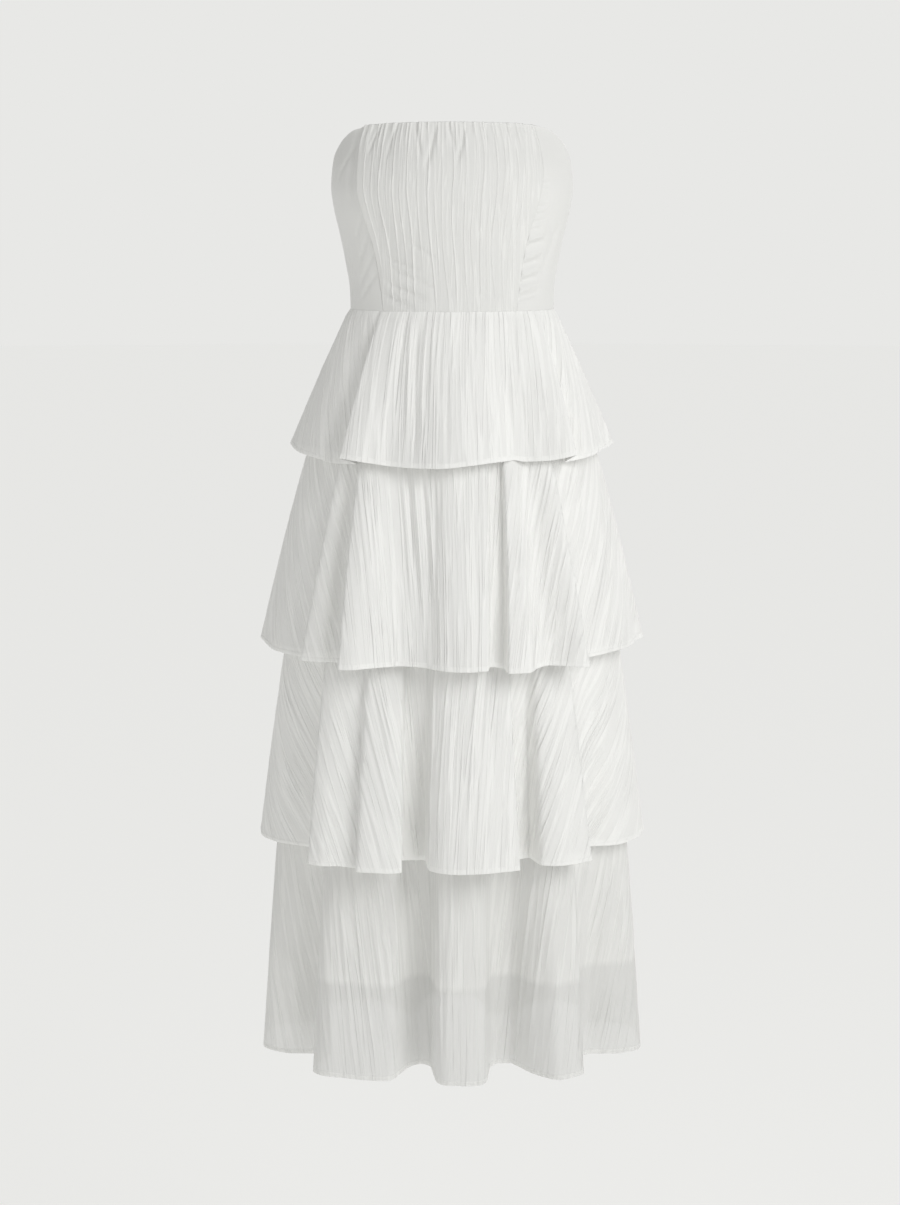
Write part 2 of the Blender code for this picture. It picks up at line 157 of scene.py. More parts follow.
# Sine of the direction where the bright studio walls end, and how far from there the change to the
# darker ceiling runs each way; the floor's level and radius
WALL_TOP = 0.20
WALL_FADE = 0.08
FLOOR_LEVEL = -2.0
FLOOR_RADIUS = 30

# Rows close to a flounce's hem, as distances up from it, and the one that the stitching runs on
HEM_ROWS = (0.0, 0.0006, 0.0050, 0.0058, 0.0064)
STITCH_ROW = 2

# A stitch: the share of its pitch that shows on the cloth, and its thread's middle at shares of its
# length, as how far that stands off the cloth in thread widths
STITCH_SHARE = 0.75
STITCH = ((0, -1 / 2), (0.25, 1 / 3), (0.75, 1 / 3), (1, -1 / 2))

# Steps in which a flounce is measured round its ring, down its length, and from ring to ring
ROUND_STEPS = 720
DOWN_STEPS = 24
HANG_LEVELS = 8

Ring = namedtuple("Ring", "height half_width front back")
Edge = namedtuple("Edge", "angle height")
Seam = namedtuple("Seam", "height right left")
Fold = namedtuple("Fold", "angle out drop lean tuck", defaults=(0, 0, 0))
Tier = namedtuple("Tier", "seam hem flare spread reach sink front_folds back_folds")
Cut = namedtuple("Cut", "inner outer start end")
Grid = namedtuple("Grid", "columns rows")
Pressed = namedtuple("Pressed", "across along level width height")
Wrinkle = namedtuple("Wrinkle", "gap length layer level width height")
Ridge = namedtuple("Ridge", "top middle waist start end height width")
Drag = namedtuple("Drag", "across height across_end height_end depth width")
Crease = namedtuple("Crease", "across down across_end down_end depth width")
Cloths = namedtuple("Cloths", "outer inner turning thread")
Places = namedtuple("Places", "points across up x y from_top")


def table(kind, *rows):
    """The rows of a table, each with its kind's named columns."""
    return tuple(kind(*row) for row in rows)


BODICE_RINGS = table(
    Ring,
    (-0.15, 0.125, 0.0905, 0.086), (-0.125, 0.1258, 0.0925, 0.0872), (-0.095, 0.1302, 0.0985, 0.0895),
    (-0.06, 0.1372, 0.1075, 0.093), (-0.025, 0.145, 0.116, 0.0965), (-0.003, 0.1475, 0.1185, 0.098),
    (0.02, 0.1458, 0.1175, 0.098), (0.045, 0.1402, 0.113, 0.0965), (0.075, 0.1315, 0.106, 0.094),
)

TOP_EDGE = table(
    Edge,
    (0, 0.0725), (30, 0.0715), (48, 0.069), (60, 0.064), (72, 0.053), (84, 0.037), (96, 0.027),
    (115, 0.024), (180, 0.026),
)

PRINCESS_SEAMS = table(
    Seam,
    (-0.15, 0.083, 0.0775), (-0.125, 0.086, 0.0805), (-0.092, 0.0905, 0.0845), (-0.06, 0.097, 0.0905),
    (-0.03, 0.1045, 0.098), (-0.004, 0.109, 0.103), (0.018, 0.1095, 0.105), (0.045, 0.108, 0.103),
    (0.072, 0.102, 0.096),
)

# Folds: out is how far each stands off the flounce's ring at the hem and drop how far its hem hangs
# below the others, in millimetres; lean is the degrees it has turned where it starts, and tuck the
# degrees it has moved at the hem, over or under its neighbour. Flare is how the ring widens on its
# way down: 1 is evenly, less is sooner. Spread is the angle on each side of the grain that a panel
# fans out to when it lies flat. Reach is how high its ridges run and sink how high its valleys do:
# 1 is straight from the hem to the seam, less is higher
TIERS = {
    "tier_1": Tier(
        seam=Ring(WAIST, 0.1255, 0.0910, 0.0865),
        hem=Ring(-0.315, 0.1905, 0.1600, 0.1500),
        flare=0.95,
        spread=26,
        reach=0.75,
        sink=1,
        front_folds=table(
            Fold,
            (-90, 11, 1), (-82, 8, 4), (-72, 7, 7), (-60, 4, 10), (-49, -8, 16), (-42, -11, 15, -2, 2.5),
            (-37.7, 23, 5, -4, -1.5), (-34.5, 20, 7, -3), (-28, 8, 11), (-22, 1, 14), (-12, 5, 15),
            (-2, 12, 14), (6, 11, 11), (13, 6, 9), (19, -1, 8, 1), (24, -10, 8, 2), (28, -9, 10, 3),
            (36, 4, 9, 4), (43, 15, 5, 6), (47, 12, 4, 8, 0.6), (50, -9, 14, 8, -1.5), (60, 6, 8, 4),
            (74, 4, 3), (82, 2, 5), (90, 11, 1),
        ),
        back_folds=table(
            Fold,
            (90, 11, 1), (98, 2, 5), (108, 4, 4), (118, 9, 8), (126, 8, 8, 0, 1), (132, -7, 12, 0, -1),
            (140, 10, 4), (156, 14, 10), (170, 6, 9), (180, 5, 9), (190, 7, 9), (204, 14, 11),
            (220, 9, 4), (228, -8, 13), (240, 8, 8), (254, 4, 4), (262, 2, 5), (270, 11, 1),
        ),
    ),
    "tier_2": Tier(
        seam=Ring(-0.275, 0.1590, 0.1280, 0.1230),
        hem=Ring(-0.566, 0.2305, 0.1860, 0.1760),
        flare=0.85,
        spread=40,
        reach=0.50,
        sink=1,
        front_folds=table(
            Fold,
            (-90, 11, -4), (-82, 7, -4), (-68, 4), (-57, -2), (-51, -6), (-48, 13, 0, 0, -1),
            (-43, 7, 0, -2), (-39, -7, 1, -3), (-33.8, -6, 1, -4, 1.5), (-31.2, 30, 1, -5.5, -0.5),
            (-28.8, 28, 1, -5), (-24, 14, 0, -3), (-20, 0, 0, -2), (-15.5, -10, 0, -1), (-10, -8),
            (-1, 12, 1), (5, 17, 1, 2), (9.6, 17, 0, 4), (11.8, -8, 0, 4), (15.8, -7, 2, 4),
            (17.6, 17, 4, 3, -1.4), (21.5, 18, 4, 2), (26, 4, 2, 1), (30, -2, 1), (39.5, 28, 1, 0, 0.5),
            (43.5, -6, 0, 0, -1), (49, -12), (62, -8, -1), (74, -1, -2), (82, 1, -4), (90, 11, -4),
        ),
        back_folds=table(
            Fold,
            (90, 11, -4), (98, 1, -4), (106, -1, -2), (117, -3), (124, 9), (131, 8), (135, -8, 1),
            (139.5, -6, 1, 0, 1.2), (142, 19, 1, 0, -0.6), (151, 20), (160, -4), (167, -9), (176, 12, 1),
            (184, 18), (189, 17, 0, 0, 0.4), (191.5, -7), (197, -9, 1), (205, 14, 1), (213, 21, 1),
            (219, 20, 0, 0, 0.6), (222.5, -5, 0, 0, -1), (229, -9, 1), (241, -3), (254, -1, -2),
            (262, 1, -4), (270, 11, -4),
        ),
    ),
    "tier_3": Tier(
        seam=Ring(-0.520, 0.1990, 0.1400, 0.1350),
        hem=Ring(-0.813, 0.2320, 0.1720, 0.1660),
        flare=1.0,
        spread=44,
        reach=0.45,
        sink=1,
        front_folds=table(
            Fold,
            (-90, 13, -2), (-83, 11, 1), (-71, 2), (-57, -20), (-46.5, -27, 0, -2, 2), (-42, 36, 0, -3),
            (-38.5, 36, 0, -3), (-33.5, 27, 0, -2), (-28.5, 19, 2, -2), (-25.3, 34, 2, -2, -0.8),
            (-22, 32, 2, -2), (-16.2, 20, 3, -1, 1.8), (-14.4, -22, 0, -1, -2.6), (-9.5, -29),
            (-5.6, 14, 1, 0, -0.6), (0, 29, 1), (8, 32), (14, 27), (18.4, 24, 0, 0, 0.6),
            (20.4, -18, 0, 0, -0.8), (25, -25, 0, 1, 1.2), (28.4, 12, 0, 1, -1.4), (34, 23),
            (42.5, 20, 0, -1, 0.8), (46.5, -14, 0, -1, -2), (54, -27), (65, -3), (77, 7), (90, 13, -2),
        ),
        back_folds=table(
            Fold,
            (90, 13, -2), (100, 8), (112, 0), (122, -22), (128, -24, 0, 0, 1.5), (132, 17), (141, 25),
            (150, 28, 0, 0, 1), (153.5, -18, 0, 0, -1), (160, -26), (166, 8, 0, 0, -0.6), (174, 29),
            (184, 32), (191.5, 26, 0, 0, 1), (194.5, -20, 0, 0, -1), (201, -25), (206.5, 14, 0, 0, -1),
            (215, 31), (227, 26, 0, 0, 1), (231.5, -16, 0, 0, -1.5), (239, -24), (251, 0), (260, 8, 1),
            (270, 13, -2),
        ),
    ),
    "tier_4": Tier(
        seam=Ring(-0.768, 0.2135, 0.1180, 0.1180),
        hem=Ring(-1.095, 0.2335, 0.1300, 0.1320),
        flare=0.9,
        spread=11,
        reach=0.35,
        sink=0.7,
        front_folds=table(
            Fold,
            (-90, 9, 2), (-82, 12, 1), (-67, -3), (-56, -27), (-49, -31, 0, 0, 2), (-43.6, 27, -1),
            (-39, 33, -1), (-32, 28), (-25, 22, 2), (-18.6, 14, 3), (-14.4, -27), (-11, -40), (-7.5, -34),
            (-4, 26, -1), (-1, 35, -1), (4, 34), (9.4, 22, 2), (13, -29), (16, -39), (20, -38), (26, 8),
            (32, 34), (40.5, 27), (46, -10, 0, 0, -1), (54, -29), (67, -2), (79, 13, 1), (90, 9, 2),
        ),
        back_folds=table(
            Fold,
            (90, 9, 2), (101, 12, 1), (113, -3), (125, -30), (137, 24), (150, 32), (160, -40), (165, -40),
            (174, 31), (180, 28), (186, 34), (195, -42), (207, 30), (221, 30), (234, -28), (247, -3),
            (259, 12, 1), (270, 9, 2),
        ),
    ),
}

# How finely each flounce is drawn, front and back
TIER_GRIDS = {
    "tier_1": (Grid(440, 26), Grid(220, 26)),
    "tier_2": (Grid(620, 38), Grid(420, 32)),
    "tier_3": (Grid(660, 38), Grid(460, 32)),
    "tier_4": (Grid(660, 42), Grid(460, 34)),
}

# Ridges pressed into the cloth, too fine for its grid: their spacing across and length along the
# grain, the level of the noise that they follow, their width on it, and their height in metres
CRINKLE = table(
    Pressed,
    (0.0098, 0.34, 0.53, 0.085, 0.00058),
    (0.0062, 0.16, 0.46, 0.085, 0.00032),
    (0.0031, 0.08, 0.50, 0.120, 0.00007),
)
FINE_CRINKLE = table(
    Pressed,
    (0.0060, 0.14, 0.55, 0.070, 0.00012),
    (0.0030, 0.05, 0.48, 0.100, 0.00005),
)

# Wrinkles that the grids are fine enough for: the gap and length of the noise that they follow along
# the grain, its layer, the level of their crests and their width on it, and their height, which is a
# share of the set wrinkle height on a flounce and in metres on the centre front
FLOUNCE_WRINKLES = table(
    Wrinkle,
    (0.018, 0.34, 3.37, 0.10, 0.14, 1),
    (0.011, 0.22, 6.71, -0.12, 0.18, 0.6),
)
CENTRE_WRINKLES = table(
    Wrinkle,
    (0.010, 0.12, 41.7, -0.08, 0.20, 0.00016),
    (0.006, 0.07, 44.9, 0.06, 0.25, 0.00012),
)

# Ridges of the centre front, each as its share of the way across the panel at the top, the middle
# and the waist, where it starts and ends as a share of the way down, and its height and half
# width in millimetres
CENTRE_RIDGES = table(
    Ridge,
    (0.06, 0.047, 0.03, 0.05, 0.8, 0.5, 1.3), (0.11, 0.085, 0.06, 0, 0.55, 0.4, 1.2),
    (0.16, 0.129, 0.095, 0.04, 1, 0.8, 1.3), (0.205, 0.165, 0.125, 0, 0.45, 0.4, 1.1),
    (0.235, 0.2, 0.155, 0.02, 1, 0.7, 1.3), (0.27, 0.245, 0.205, 0.3, 1, 0.5, 1.1),
    (0.3, 0.288, 0.262, 0, 1, 0.8, 1.3), (0.345, 0.34, 0.33, 0, 0.75, 0.5, 1.2),
    (0.4, 0.395, 0.41, 0.05, 1, 0.9, 1.4), (0.445, 0.43, 0.45, 0.35, 0.85, 0.4, 1.1),
    (0.47, 0.465, 0.5, 0, 1, 0.5, 1.2), (0.52, 0.524, 0.56, 0.06, 1, 0.8, 1.3),
    (0.555, 0.555, 0.6, 0, 0.35, 0.6, 1.3), (0.59, 0.585, 0.635, 0.12, 1, 0.6, 1.2),
    (0.64, 0.63, 0.68, 0, 0.9, 0.4, 1.1), (0.67, 0.677, 0.727, 0.05, 1, 0.8, 1.2),
    (0.71, 0.715, 0.775, 0.4, 0.95, 0.4, 1), (0.735, 0.749, 0.826, 0, 1, 0.7, 1.1),
    (0.775, 0.785, 0.86, 0, 0.6, 0.3, 1), (0.8, 0.815, 0.89, 0.05, 1, 0.5, 1.1),
    (0.845, 0.862, 0.925, 0.1, 1, 0.4, 1), (0.88, 0.9, 0.957, 0, 0.85, 0.4, 1),
    (0.925, 0.945, 0.98, 0.04, 0.6, 0.3, 1),
)

# Soft troughs where the cloth drags or puckers, between two places given as the share of the way
# across the piece and the height in millimetres, with depth and half width in millimetres
CENTRE_DRAGS = table(
    Drag,
    (0.1, -86, 0.3, -100, 1.8, 2.3), (0.14, -102, 0.4, -120, 2.2, 2.5),
    (0.08, -116, 0.34, -135, 2.6, 2.8), (0.02, -128, 0.24, -146, 2.4, 2.6),
    (0.28, -71, 0.42, -86, 1.6, 2.1), (0.62, -134, 0.86, -128, 0.8, 3.2), (0.12, 68, 0.07, 36, 1.7, 2),
    (0.22, 70, 0.18, 30, 1.6, 2.1), (0.33, 70, 0.36, 34, 2, 2.4), (0.44, 70, 0.39, 22, 2.3, 2.6),
    (0.5, 70, 0.53, 40, 1.9, 2.4), (0.59, 70, 0.54, 26, 2.1, 2.5), (0.68, 70, 0.69, 50, 1.4, 1.9),
    (0.84, 68, 0.88, 50, 1.1, 1.9),
)
LEFT_SIDE_DRAGS = table(
    Drag,
    (-0.02, 6, 0.1, 7, 0.7, 1.5), (-0.02, -2, 0.1, -1, 0.8, 1.5), (-0.02, -10, 0.11, -8, 1, 1.6),
    (-0.02, -18, 0.12, -16, 1.2, 1.8), (-0.02, -27, 0.14, -24, 1.5, 2), (-0.02, -36, 0.14, -33, 1.5, 2.1),
    (-0.02, -45, 0.17, -41, 1.8, 2.3), (-0.02, -54, 0.16, -50, 1.6, 2.4), (0.02, -64, 0.24, -58, -2, 3.8),
    (-0.02, -74, 0.24, -67, 3, 3.8), (0.02, -85, 0.26, -78, -2.2, 4.2), (-0.02, -96, 0.28, -89, 3.2, 4),
    (0.02, -106, 0.28, -99, -2.2, 4.2), (-0.02, -116, 0.26, -109, 3, 4), (0.02, -125, 0.3, -118, -2, 4),
    (-0.02, -135, 0.32, -128, 3, 4), (0.16, -34, 0.44, -60, 1.8, 6.5), (0.5, -50, 0.34, -110, 1.6, 6),
    (0.8, -20, 0.66, -120, 1.2, 7),
)
RIGHT_SIDE_DRAGS = table(
    Drag,
    (0.88, 70, 0.88, -18, 2.6, 5.5), (0.9, 50, 0.55, 8, 0.9, 2.6), (0.84, 38, 0.5, -4, 0.8, 2.8),
    (1, -34, 0.74, -62, 0.9, 2.4), (1, -56, 0.66, -94, 1, 2.6), (1, -80, 0.62, -118, 1, 2.8),
    (0.98, -104, 0.6, -136, 1, 2.8), (0.4, -70, 0.3, -144, 1.2, 4.6),
)
BACK_DRAGS = table(
    Drag,
    (0.96, -120, 0.55, -128, 1.3, 3.6), (0.97, -100, 0.62, -108, 1, 3.2),
    (0.97, -78, 0.72, -83, 0.8, 2.8), (0.96, -137, 0.48, -143, 1.1, 3.2), (0.1, -30, 0.4, -50, 1, 4),
    (0.08, -60, 0.36, -82, 1, 4),
)

# Creases of the flounces: soft troughs, or ridges where the depth is less than nothing, along a
# line between two places on the flat cut, each given in millimetres from the grain line, less than
# nothing towards the wearer's right, and as the share of the way down
CREASES = {
    "tier_1": table(
        Crease,
        (-62, 0.06, -66, 0.8, -1.6, 1.6), (-54, 0, -55, 0.52, 2, 1.8), (-47, 0.05, -43, 0.7, -2, 1.7),
        (-38, 0.2, -33, 0.95, 2.2, 1.9), (-30, 0.1, -27, 0.8, -1.8, 1.6),
        (-20, 0.02, -19, 0.6, -1.5, 1.5), (-3, 0.3, -2, 0.92, 1.8, 2.6), (22, 0.05, 24, 0.55, -0.9, 1.5),
        (64, 0.06, 72, 0.86, -1.3, 1.6), (74, 0.1, 84, 0.96, 1.2, 2.2), (112, 0.2, 121, 0.9, -0.9, 1.7),
        (-112, 0.1, -126, 0.88, -1.1, 1.8),
    ),
    "tier_2": table(
        Crease,
        (-112, 0.2, -108, 0.98, -1.2, 1.7), (-98, 0.22, -101, 0.8, -1, 1.6),
        (-62, 0.15, -60, 0.74, -2, 1.8), (-55, 0.1, -54, 0.62, 2.4, 1.8),
        (-48, 0.18, -46, 0.82, -2.2, 1.7), (-39, 0.12, -35, 0.66, 2.4, 1.8),
        (-31, 0.35, -30, 0.72, -1.8, 1.6), (-24, 0.15, -25, 0.56, 1.2, 1.8),
        (33, 0.15, 32, 0.95, -1, 1.7), (58, 0.12, 60, 0.6, -1.2, 1.6), (96, 0.14, 99, 0.7, 1.5, 2.2),
        (108, 0.18, 107, 0.6, -1.4, 1.8), (124, 0.25, 122, 0.86, 1.2, 2.2), (150, 0.35, 149, 0.9, -1, 2),
        (-150, 0.3, -148, 0.9, -1.1, 2),
    ),
    "tier_3": table(
        Crease,
        (-150, 0.4, -148, 0.97, -1.5, 2), (-121, 0.28, -124, 0.92, -1.8, 1.9),
        (-108, 0.24, -112, 0.8, 1.5, 2), (-98, 0.22, -102, 0.95, -1.5, 1.8),
        (-40, 0.18, -42, 0.7, -1.2, 1.8), (-14, 0.16, -13, 0.98, -1.2, 1.6),
        (4, 0.12, 2, 0.86, -1.3, 1.6), (18, 0.2, 20, 0.98, 1.3, 1.8), (38, 0.14, 41, 0.8, -1.5, 1.7),
        (52, 0.1, 55, 0.98, -1.4, 1.7), (62, 0.16, 60, 0.6, 1.5, 1.9), (108, 0.2, 112, 0.84, -1.2, 1.8),
        (128, 0.26, 126, 0.92, 1.4, 2), (146, 0.34, 147, 0.9, -1.1, 2),
    ),
    "tier_4": table(
        Crease,
        (-142, 0.2, -146, 0.98, -1.4, 1.9), (-128, 0.14, -126, 0.96, -1.6, 1.8),
        (-112, 0.16, -108, 0.98, -1.8, 1.8), (-98, 0.3, -94, 0.7, 1.6, 2),
        (-84, 0.12, -88, 0.6, -1.6, 1.8), (-78, 0.48, -76, 0.86, 1.5, 1.9),
        (-12, 0.12, -4, 0.98, -1.7, 1.8), (4, 0.14, 0, 0.9, -1.2, 1.6), (26, 0.16, 30, 0.92, -1.3, 1.7),
        (42, 0.12, 44, 0.66, -1.2, 1.7), (112, 0.14, 108, 0.97, -1.5, 1.8),
        (132, 0.2, 128, 0.9, -1.2, 1.8), (-10, 0.66, 8, 0.72, 1.6, 2.6),
    ),
}


# ---- numbers and curves


def linear(code):
    """The linear colour of an sRGB hex value."""
    parts = (int(code[n : n + 2], 16) / 255 for n in (0, 2, 4))
    return tuple(p / 12.92 if p <= 0.04045 else ((p + 0.055) / 1.055) ** 2.4 for p in parts)


def smooth_step(low, high, values):
    share = np.clip((values - low) / (high - low), 0, 1)
    return share * share * (3 - 2 * share)


def smooth_curve(places, values, at):
    """Values on a smooth curve through a table that never overshoots; places ascend."""
    places, values = np.asarray(places, float), np.asarray(values, float)
    steps = np.diff(places)
    rises = np.diff(values) / steps
    slopes = np.zeros(len(places))
    before, after = rises[:-1], rises[1:]
    same = before * after > 0
    slopes[1:-1][same] = (2 * before * after / (before + after + 1e-30))[same]
    slopes[0], slopes[-1] = rises[0], rises[-1]
    at = np.clip(at, places[0], places[-1])
    i = np.clip(np.searchsorted(places, at, side="right") - 1, 0, len(steps) - 1)
    u = (at - places[i]) / steps[i]
    start = values[i] * (1 + 2 * u) * (1 - u) ** 2 + slopes[i] * steps[i] * u * (1 - u) ** 2
    end = values[i + 1] * (3 - 2 * u) * u**2 - slopes[i + 1] * steps[i] * (1 - u) * u**2
    return start + end


def read(rows, name, at):
    """A table's column at places along its first one."""
    return smooth_curve([row[0] for row in rows], [getattr(row, name) for row in rows], at)


def ridge(distance, half_width):
    return np.exp(-((distance / half_width) ** 2))


def chance(x, y, gap, length, layer):
    """Smooth chance from about -1 to 1 over flat cloth, drawn out along the grain."""
    pairs = zip((x / gap).ravel(), (y / length).ravel())
    return np.array([noise.noise((a, b, layer)) for a, b in pairs]).reshape(x.shape)


def on_ring(half_width, front, back, angle, out):
    """Points at angles on rings, moved out square to them."""
    turn = np.radians(angle)
    across, forward = np.sin(turn), np.cos(turn)
    depth = np.where(forward > 0, front, back)
    square = np.hypot(across / half_width, forward / depth)
    x = half_width * across + out * across / half_width / square
    y = -depth * forward - out * forward / depth / square
    return x, y


def outward(points):
    """The direction square to the cloth at each crossing of its grid."""
    across = np.gradient(points, axis=1)
    up = np.gradient(points, axis=0)
    normal = np.cross(across, up)
    return normal / np.maximum(np.linalg.norm(normal, axis=2, keepdims=True), 1e-12)


def lengths(points, axis=0):
    """How far each point lies from the first, along a line or along one way of a grid."""
    steps = np.linalg.norm(np.diff(points, axis=axis), axis=-1)
    start = np.zeros_like(np.take(steps, [0], axis))
    return np.concatenate([start, np.cumsum(steps, axis=axis)], axis=axis)


def from_middle(points):
    """Flat places across a panel, measured along it from its middle."""
    along = lengths(points, axis=1)
    return along - along[:, -1:] / 2


# ---- cloth


def mesh_from(name, shape):
    mesh = bpy.data.meshes.new(name)
    shape.to_mesh(mesh)
    shape.free()
    return mesh


def new_object(name, data, finish=None):
    """A new object in the scene, with its first finish if it has one."""
    if finish:
        data.materials.append(finish)
    made = bpy.data.objects.new(name, data)
    bpy.context.scene.collection.objects.link(made)
    return made


def belongs(piece, replaced=None):
    """Puts a piece in the dress's body, and in the place of the solid it replaces."""
    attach(piece, "root")
    if replaced:
        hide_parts(replaced)


def cloth_piece(name, points, flat, finish, thickness, backing_and_painted_light=None, inner=None):
    """Cloth: a flat grid whose crossings are moved to their points, then given its thickness.

    What lies behind the cloth sets its tone: 0 for nothing, which darkens it as painted shade, BACKED
    for other cloth close behind, and 1 where it lies double, which on raised crests whitens it as
    painted highlight. Inner is the finish of its inner face.
    """
    rows, columns = points.shape[:2]
    sheet = bmesh.new()
    bmesh.ops.create_grid(sheet, x_segments=columns - 1, y_segments=rows - 1, size=1)
    mesh = mesh_from(name, sheet)
    place = np.empty(3 * len(mesh.vertices), np.float32)
    mesh.vertices.foreach_get("co", place)
    column = np.rint((place[0::3] + 1) / 2 * (columns - 1)).astype(int)
    row = np.rint((place[1::3] + 1) / 2 * (rows - 1)).astype(int)
    mesh.vertices.foreach_set("co", points[row, column].astype(np.float32).ravel())
    corner = np.empty(len(mesh.loops), np.int32)
    mesh.loops.foreach_get("vertex_index", corner)
    cut = mesh.uv_layers.new(name="flat_cut")
    cut.data.foreach_set("uv", flat[row, column][corner].astype(np.float32).ravel())
    behind = np.full(points.shape[:2], BACKED) if backing_and_painted_light is None else backing_and_painted_light
    # This attribute carries painted shade where nothing lies behind the cloth and painted highlight on
    # raised crests, besides real doubled cloth
    layers = mesh.attributes.new("backing_and_painted_light", "FLOAT", "POINT")
    layers.data.foreach_set("value", behind[row, column].astype(np.float32))
    mesh.update()
    mesh.shade_smooth()
    piece = new_object(name, mesh, finish)
    wall = piece.modifiers.new("Thickness", "SOLIDIFY")
    wall.thickness = thickness
    wall.offset = -1
    if inner:
        mesh.materials.append(inner)
        wall.material_offset = 1
    return piece


def thread_line(name, path, out, thread):
    """A row of stitches along a path: each comes up through the cloth and goes down again."""
    sizes = bpy.context.scene.dress_sizes
    pitch, width = sizes.stitch_pitch, sizes.thread_width
    length = STITCH_SHARE * pitch
    along = lengths(path)
    curve = bpy.data.curves.new(name, "CURVE")
    curve.dimensions = "3D"
    curve.bevel_depth = width / 2
    curve.bevel_resolution = 0
    curve.use_fill_caps = True
    for start in np.arange(pitch / 2, along[-1] - pitch, pitch):
        stitch = curve.splines.new("POLY")
        stitch.points.add(len(STITCH) - 1)
        for point, (share, rise) in zip(stitch.points, STITCH):
            at = start + share * length
            place = [np.interp(at, along, path[:, n] + out[:, n] * rise * width) for n in range(3)]
            point.co = (*place, 1)
    return new_object(name, curve, thread)


def pressed_in(rows, x, y, layer=0):
    """Height of wrinkles: ridges along the grain that wander, fork and die out."""
    height = np.zeros(x.shape)
    for row in rows:
        drawn_out = chance(x, y, row.gap, row.length, layer + row.layer)
        height += row.height * ridge(drawn_out - row.level, row.width)
    return height


def wrinkles(x, y, layer):
    """Height of a flounce's pressed wrinkles, which sway a little and are stronger in places."""
    x = x + 0.0030 * chance(x, y, 0.045, 0.14, layer + 0.51)
    pressed = pressed_in(FLOUNCE_WRINKLES, x, y, layer)
    strength = 0.75 + 0.8 * chance(x, y, 0.06, 0.10, layer + 12.9)
    return bpy.context.scene.dress_sizes.wrinkle_height * strength * pressed


def trough(x, y, start, end, depth, half_width):
    """A soft trough along a line from start to end, deepest in the middle."""
    start, end = np.array(start), np.array(end)
    line = end - start
    share = ((x - start[0]) * line[0] + (y - start[1]) * line[1]) / (line @ line)
    off = ((x - start[0]) * line[1] - (y - start[1]) * line[0]) / math.hypot(*line)
    fade = smooth_step(-0.25, 0.2, share) * (1 - smooth_step(0.7, 1.2, share))
    return -depth / MM * fade * ridge(off, half_width / MM)


# ---- flounces


def folds_at(folds, angle):
    """(out, drop, lean, tuck) at angles; the folds turn smoothly into one another."""
    out, drop, lean, tuck = (read(folds, name, angle) for name in Fold._fields[1:])
    return out / MM, drop / MM, lean, tuck


def standing_off(tier, out, down):
    """How far folds stand off their ring: ridges run higher than the valleys between them."""
    down = np.maximum(down, 0)
    return out * np.where(out > 0, down**tier.reach, down**tier.sink)


def tier_points(tier, folds, angle, down):
    """Points of a flounce at angles and shares of the way down from its seam."""
    out, drop, lean, tuck = folds_at(folds, angle)
    share = np.maximum(down, 0) ** tier.flare
    sizes = [a + (b - a) * share for a, b in zip(tier.seam[1:], tier.hem[1:])]
    turned = angle + lean * (1 - down) + tuck * down
    x, y = on_ring(*sizes, turned, standing_off(tier, out, down))
    height = tier.seam.height + (tier.hem.height - tier.seam.height) * down - drop * down
    return np.stack([x, y, height], axis=-1)


def tier_cut(tier, folds, first, last):
    """The flat cut of a whole front or back: a piece of a ring, its grain down the middle."""
    angles = np.linspace(first, last, ROUND_STEPS + 1)
    down = np.linspace(0, 1, DOWN_STEPS + 1)
    seam = lengths(tier_points(tier, folds, angles, 0 * angles))[-1]
    sample = angles[:: ROUND_STEPS // 20]
    drops = [lengths(tier_points(tier, folds, a + 0 * down, down))[-1] for a in sample]
    half = math.radians(tier.spread)
    inner = seam / (2 * half)
    return Cut(inner, inner + float(np.mean(drops)), -half, half)


def flat_grid(cut, grid):
    """The crossings of a flounce's grid on the flat cut, columns on the grain, hem row first."""
    first, last = (cut.outer * math.sin(turn) for turn in (cut.start, cut.end))
    first += CORNER_INSET * (cut.start < 0)
    last -= CORNER_INSET * (cut.end > 0)
    x = np.linspace(first, last, grid.columns)
    hem = np.sqrt(cut.outer**2 - x**2)
    top = np.sqrt(np.maximum(cut.inner**2 - x**2, 0))
    for turn in (cut.start, cut.end):
        if turn:
            beyond = x / math.sin(turn) > cut.inner
            top = np.where(beyond, x / math.tan(turn), top)
    length = hem - top
    hem_rows = np.array(HEM_ROWS)[:, None] * np.minimum(1, length / (3 * HEM_ROWS[-1]))
    # The row next to the last lies close under the seam, so that the cut edge doesn't shade the cloth
    inner = np.linspace(0, 0.993, grid.rows - len(HEM_ROWS) - 1)[1:]
    shares = np.append(inner, (SEAM_ROW, 1))[:, None]
    up = np.concatenate([hem_rows, hem_rows[-1] + (length - hem_rows[-1]) * shares])
    return np.broadcast_to(x, up.shape), hem - up


def hang(tier, folds, cut, first, last, x, y):
    """Hangs flat points: each keeps its place along the cloth at its own height."""
    from_seam = np.clip((np.hypot(x, y) - cut.inner) / (cut.outer - cut.inner), 0, 1)
    across = np.clip((np.arctan2(x, y) - cut.start) / (cut.end - cut.start), 0, 1)
    angles = np.linspace(first, last, 2 * ROUND_STEPS + 1)
    found = []
    for level in np.linspace(0, 1, HANG_LEVELS + 1):
        along = lengths(tier_points(tier, folds, angles, level + 0 * angles))
        found.append(np.interp(across, along / along[-1], angles))
    found = np.array(found)
    below = np.clip((from_seam * HANG_LEVELS).astype(int), 0, HANG_LEVELS - 1)
    share = from_seam * HANG_LEVELS - below
    low = np.take_along_axis(found, below[None], 0)[0]
    high = np.take_along_axis(found, below[None] + 1, 0)[0]
    return tier_points(tier, folds, low + (high - low) * share, from_seam)


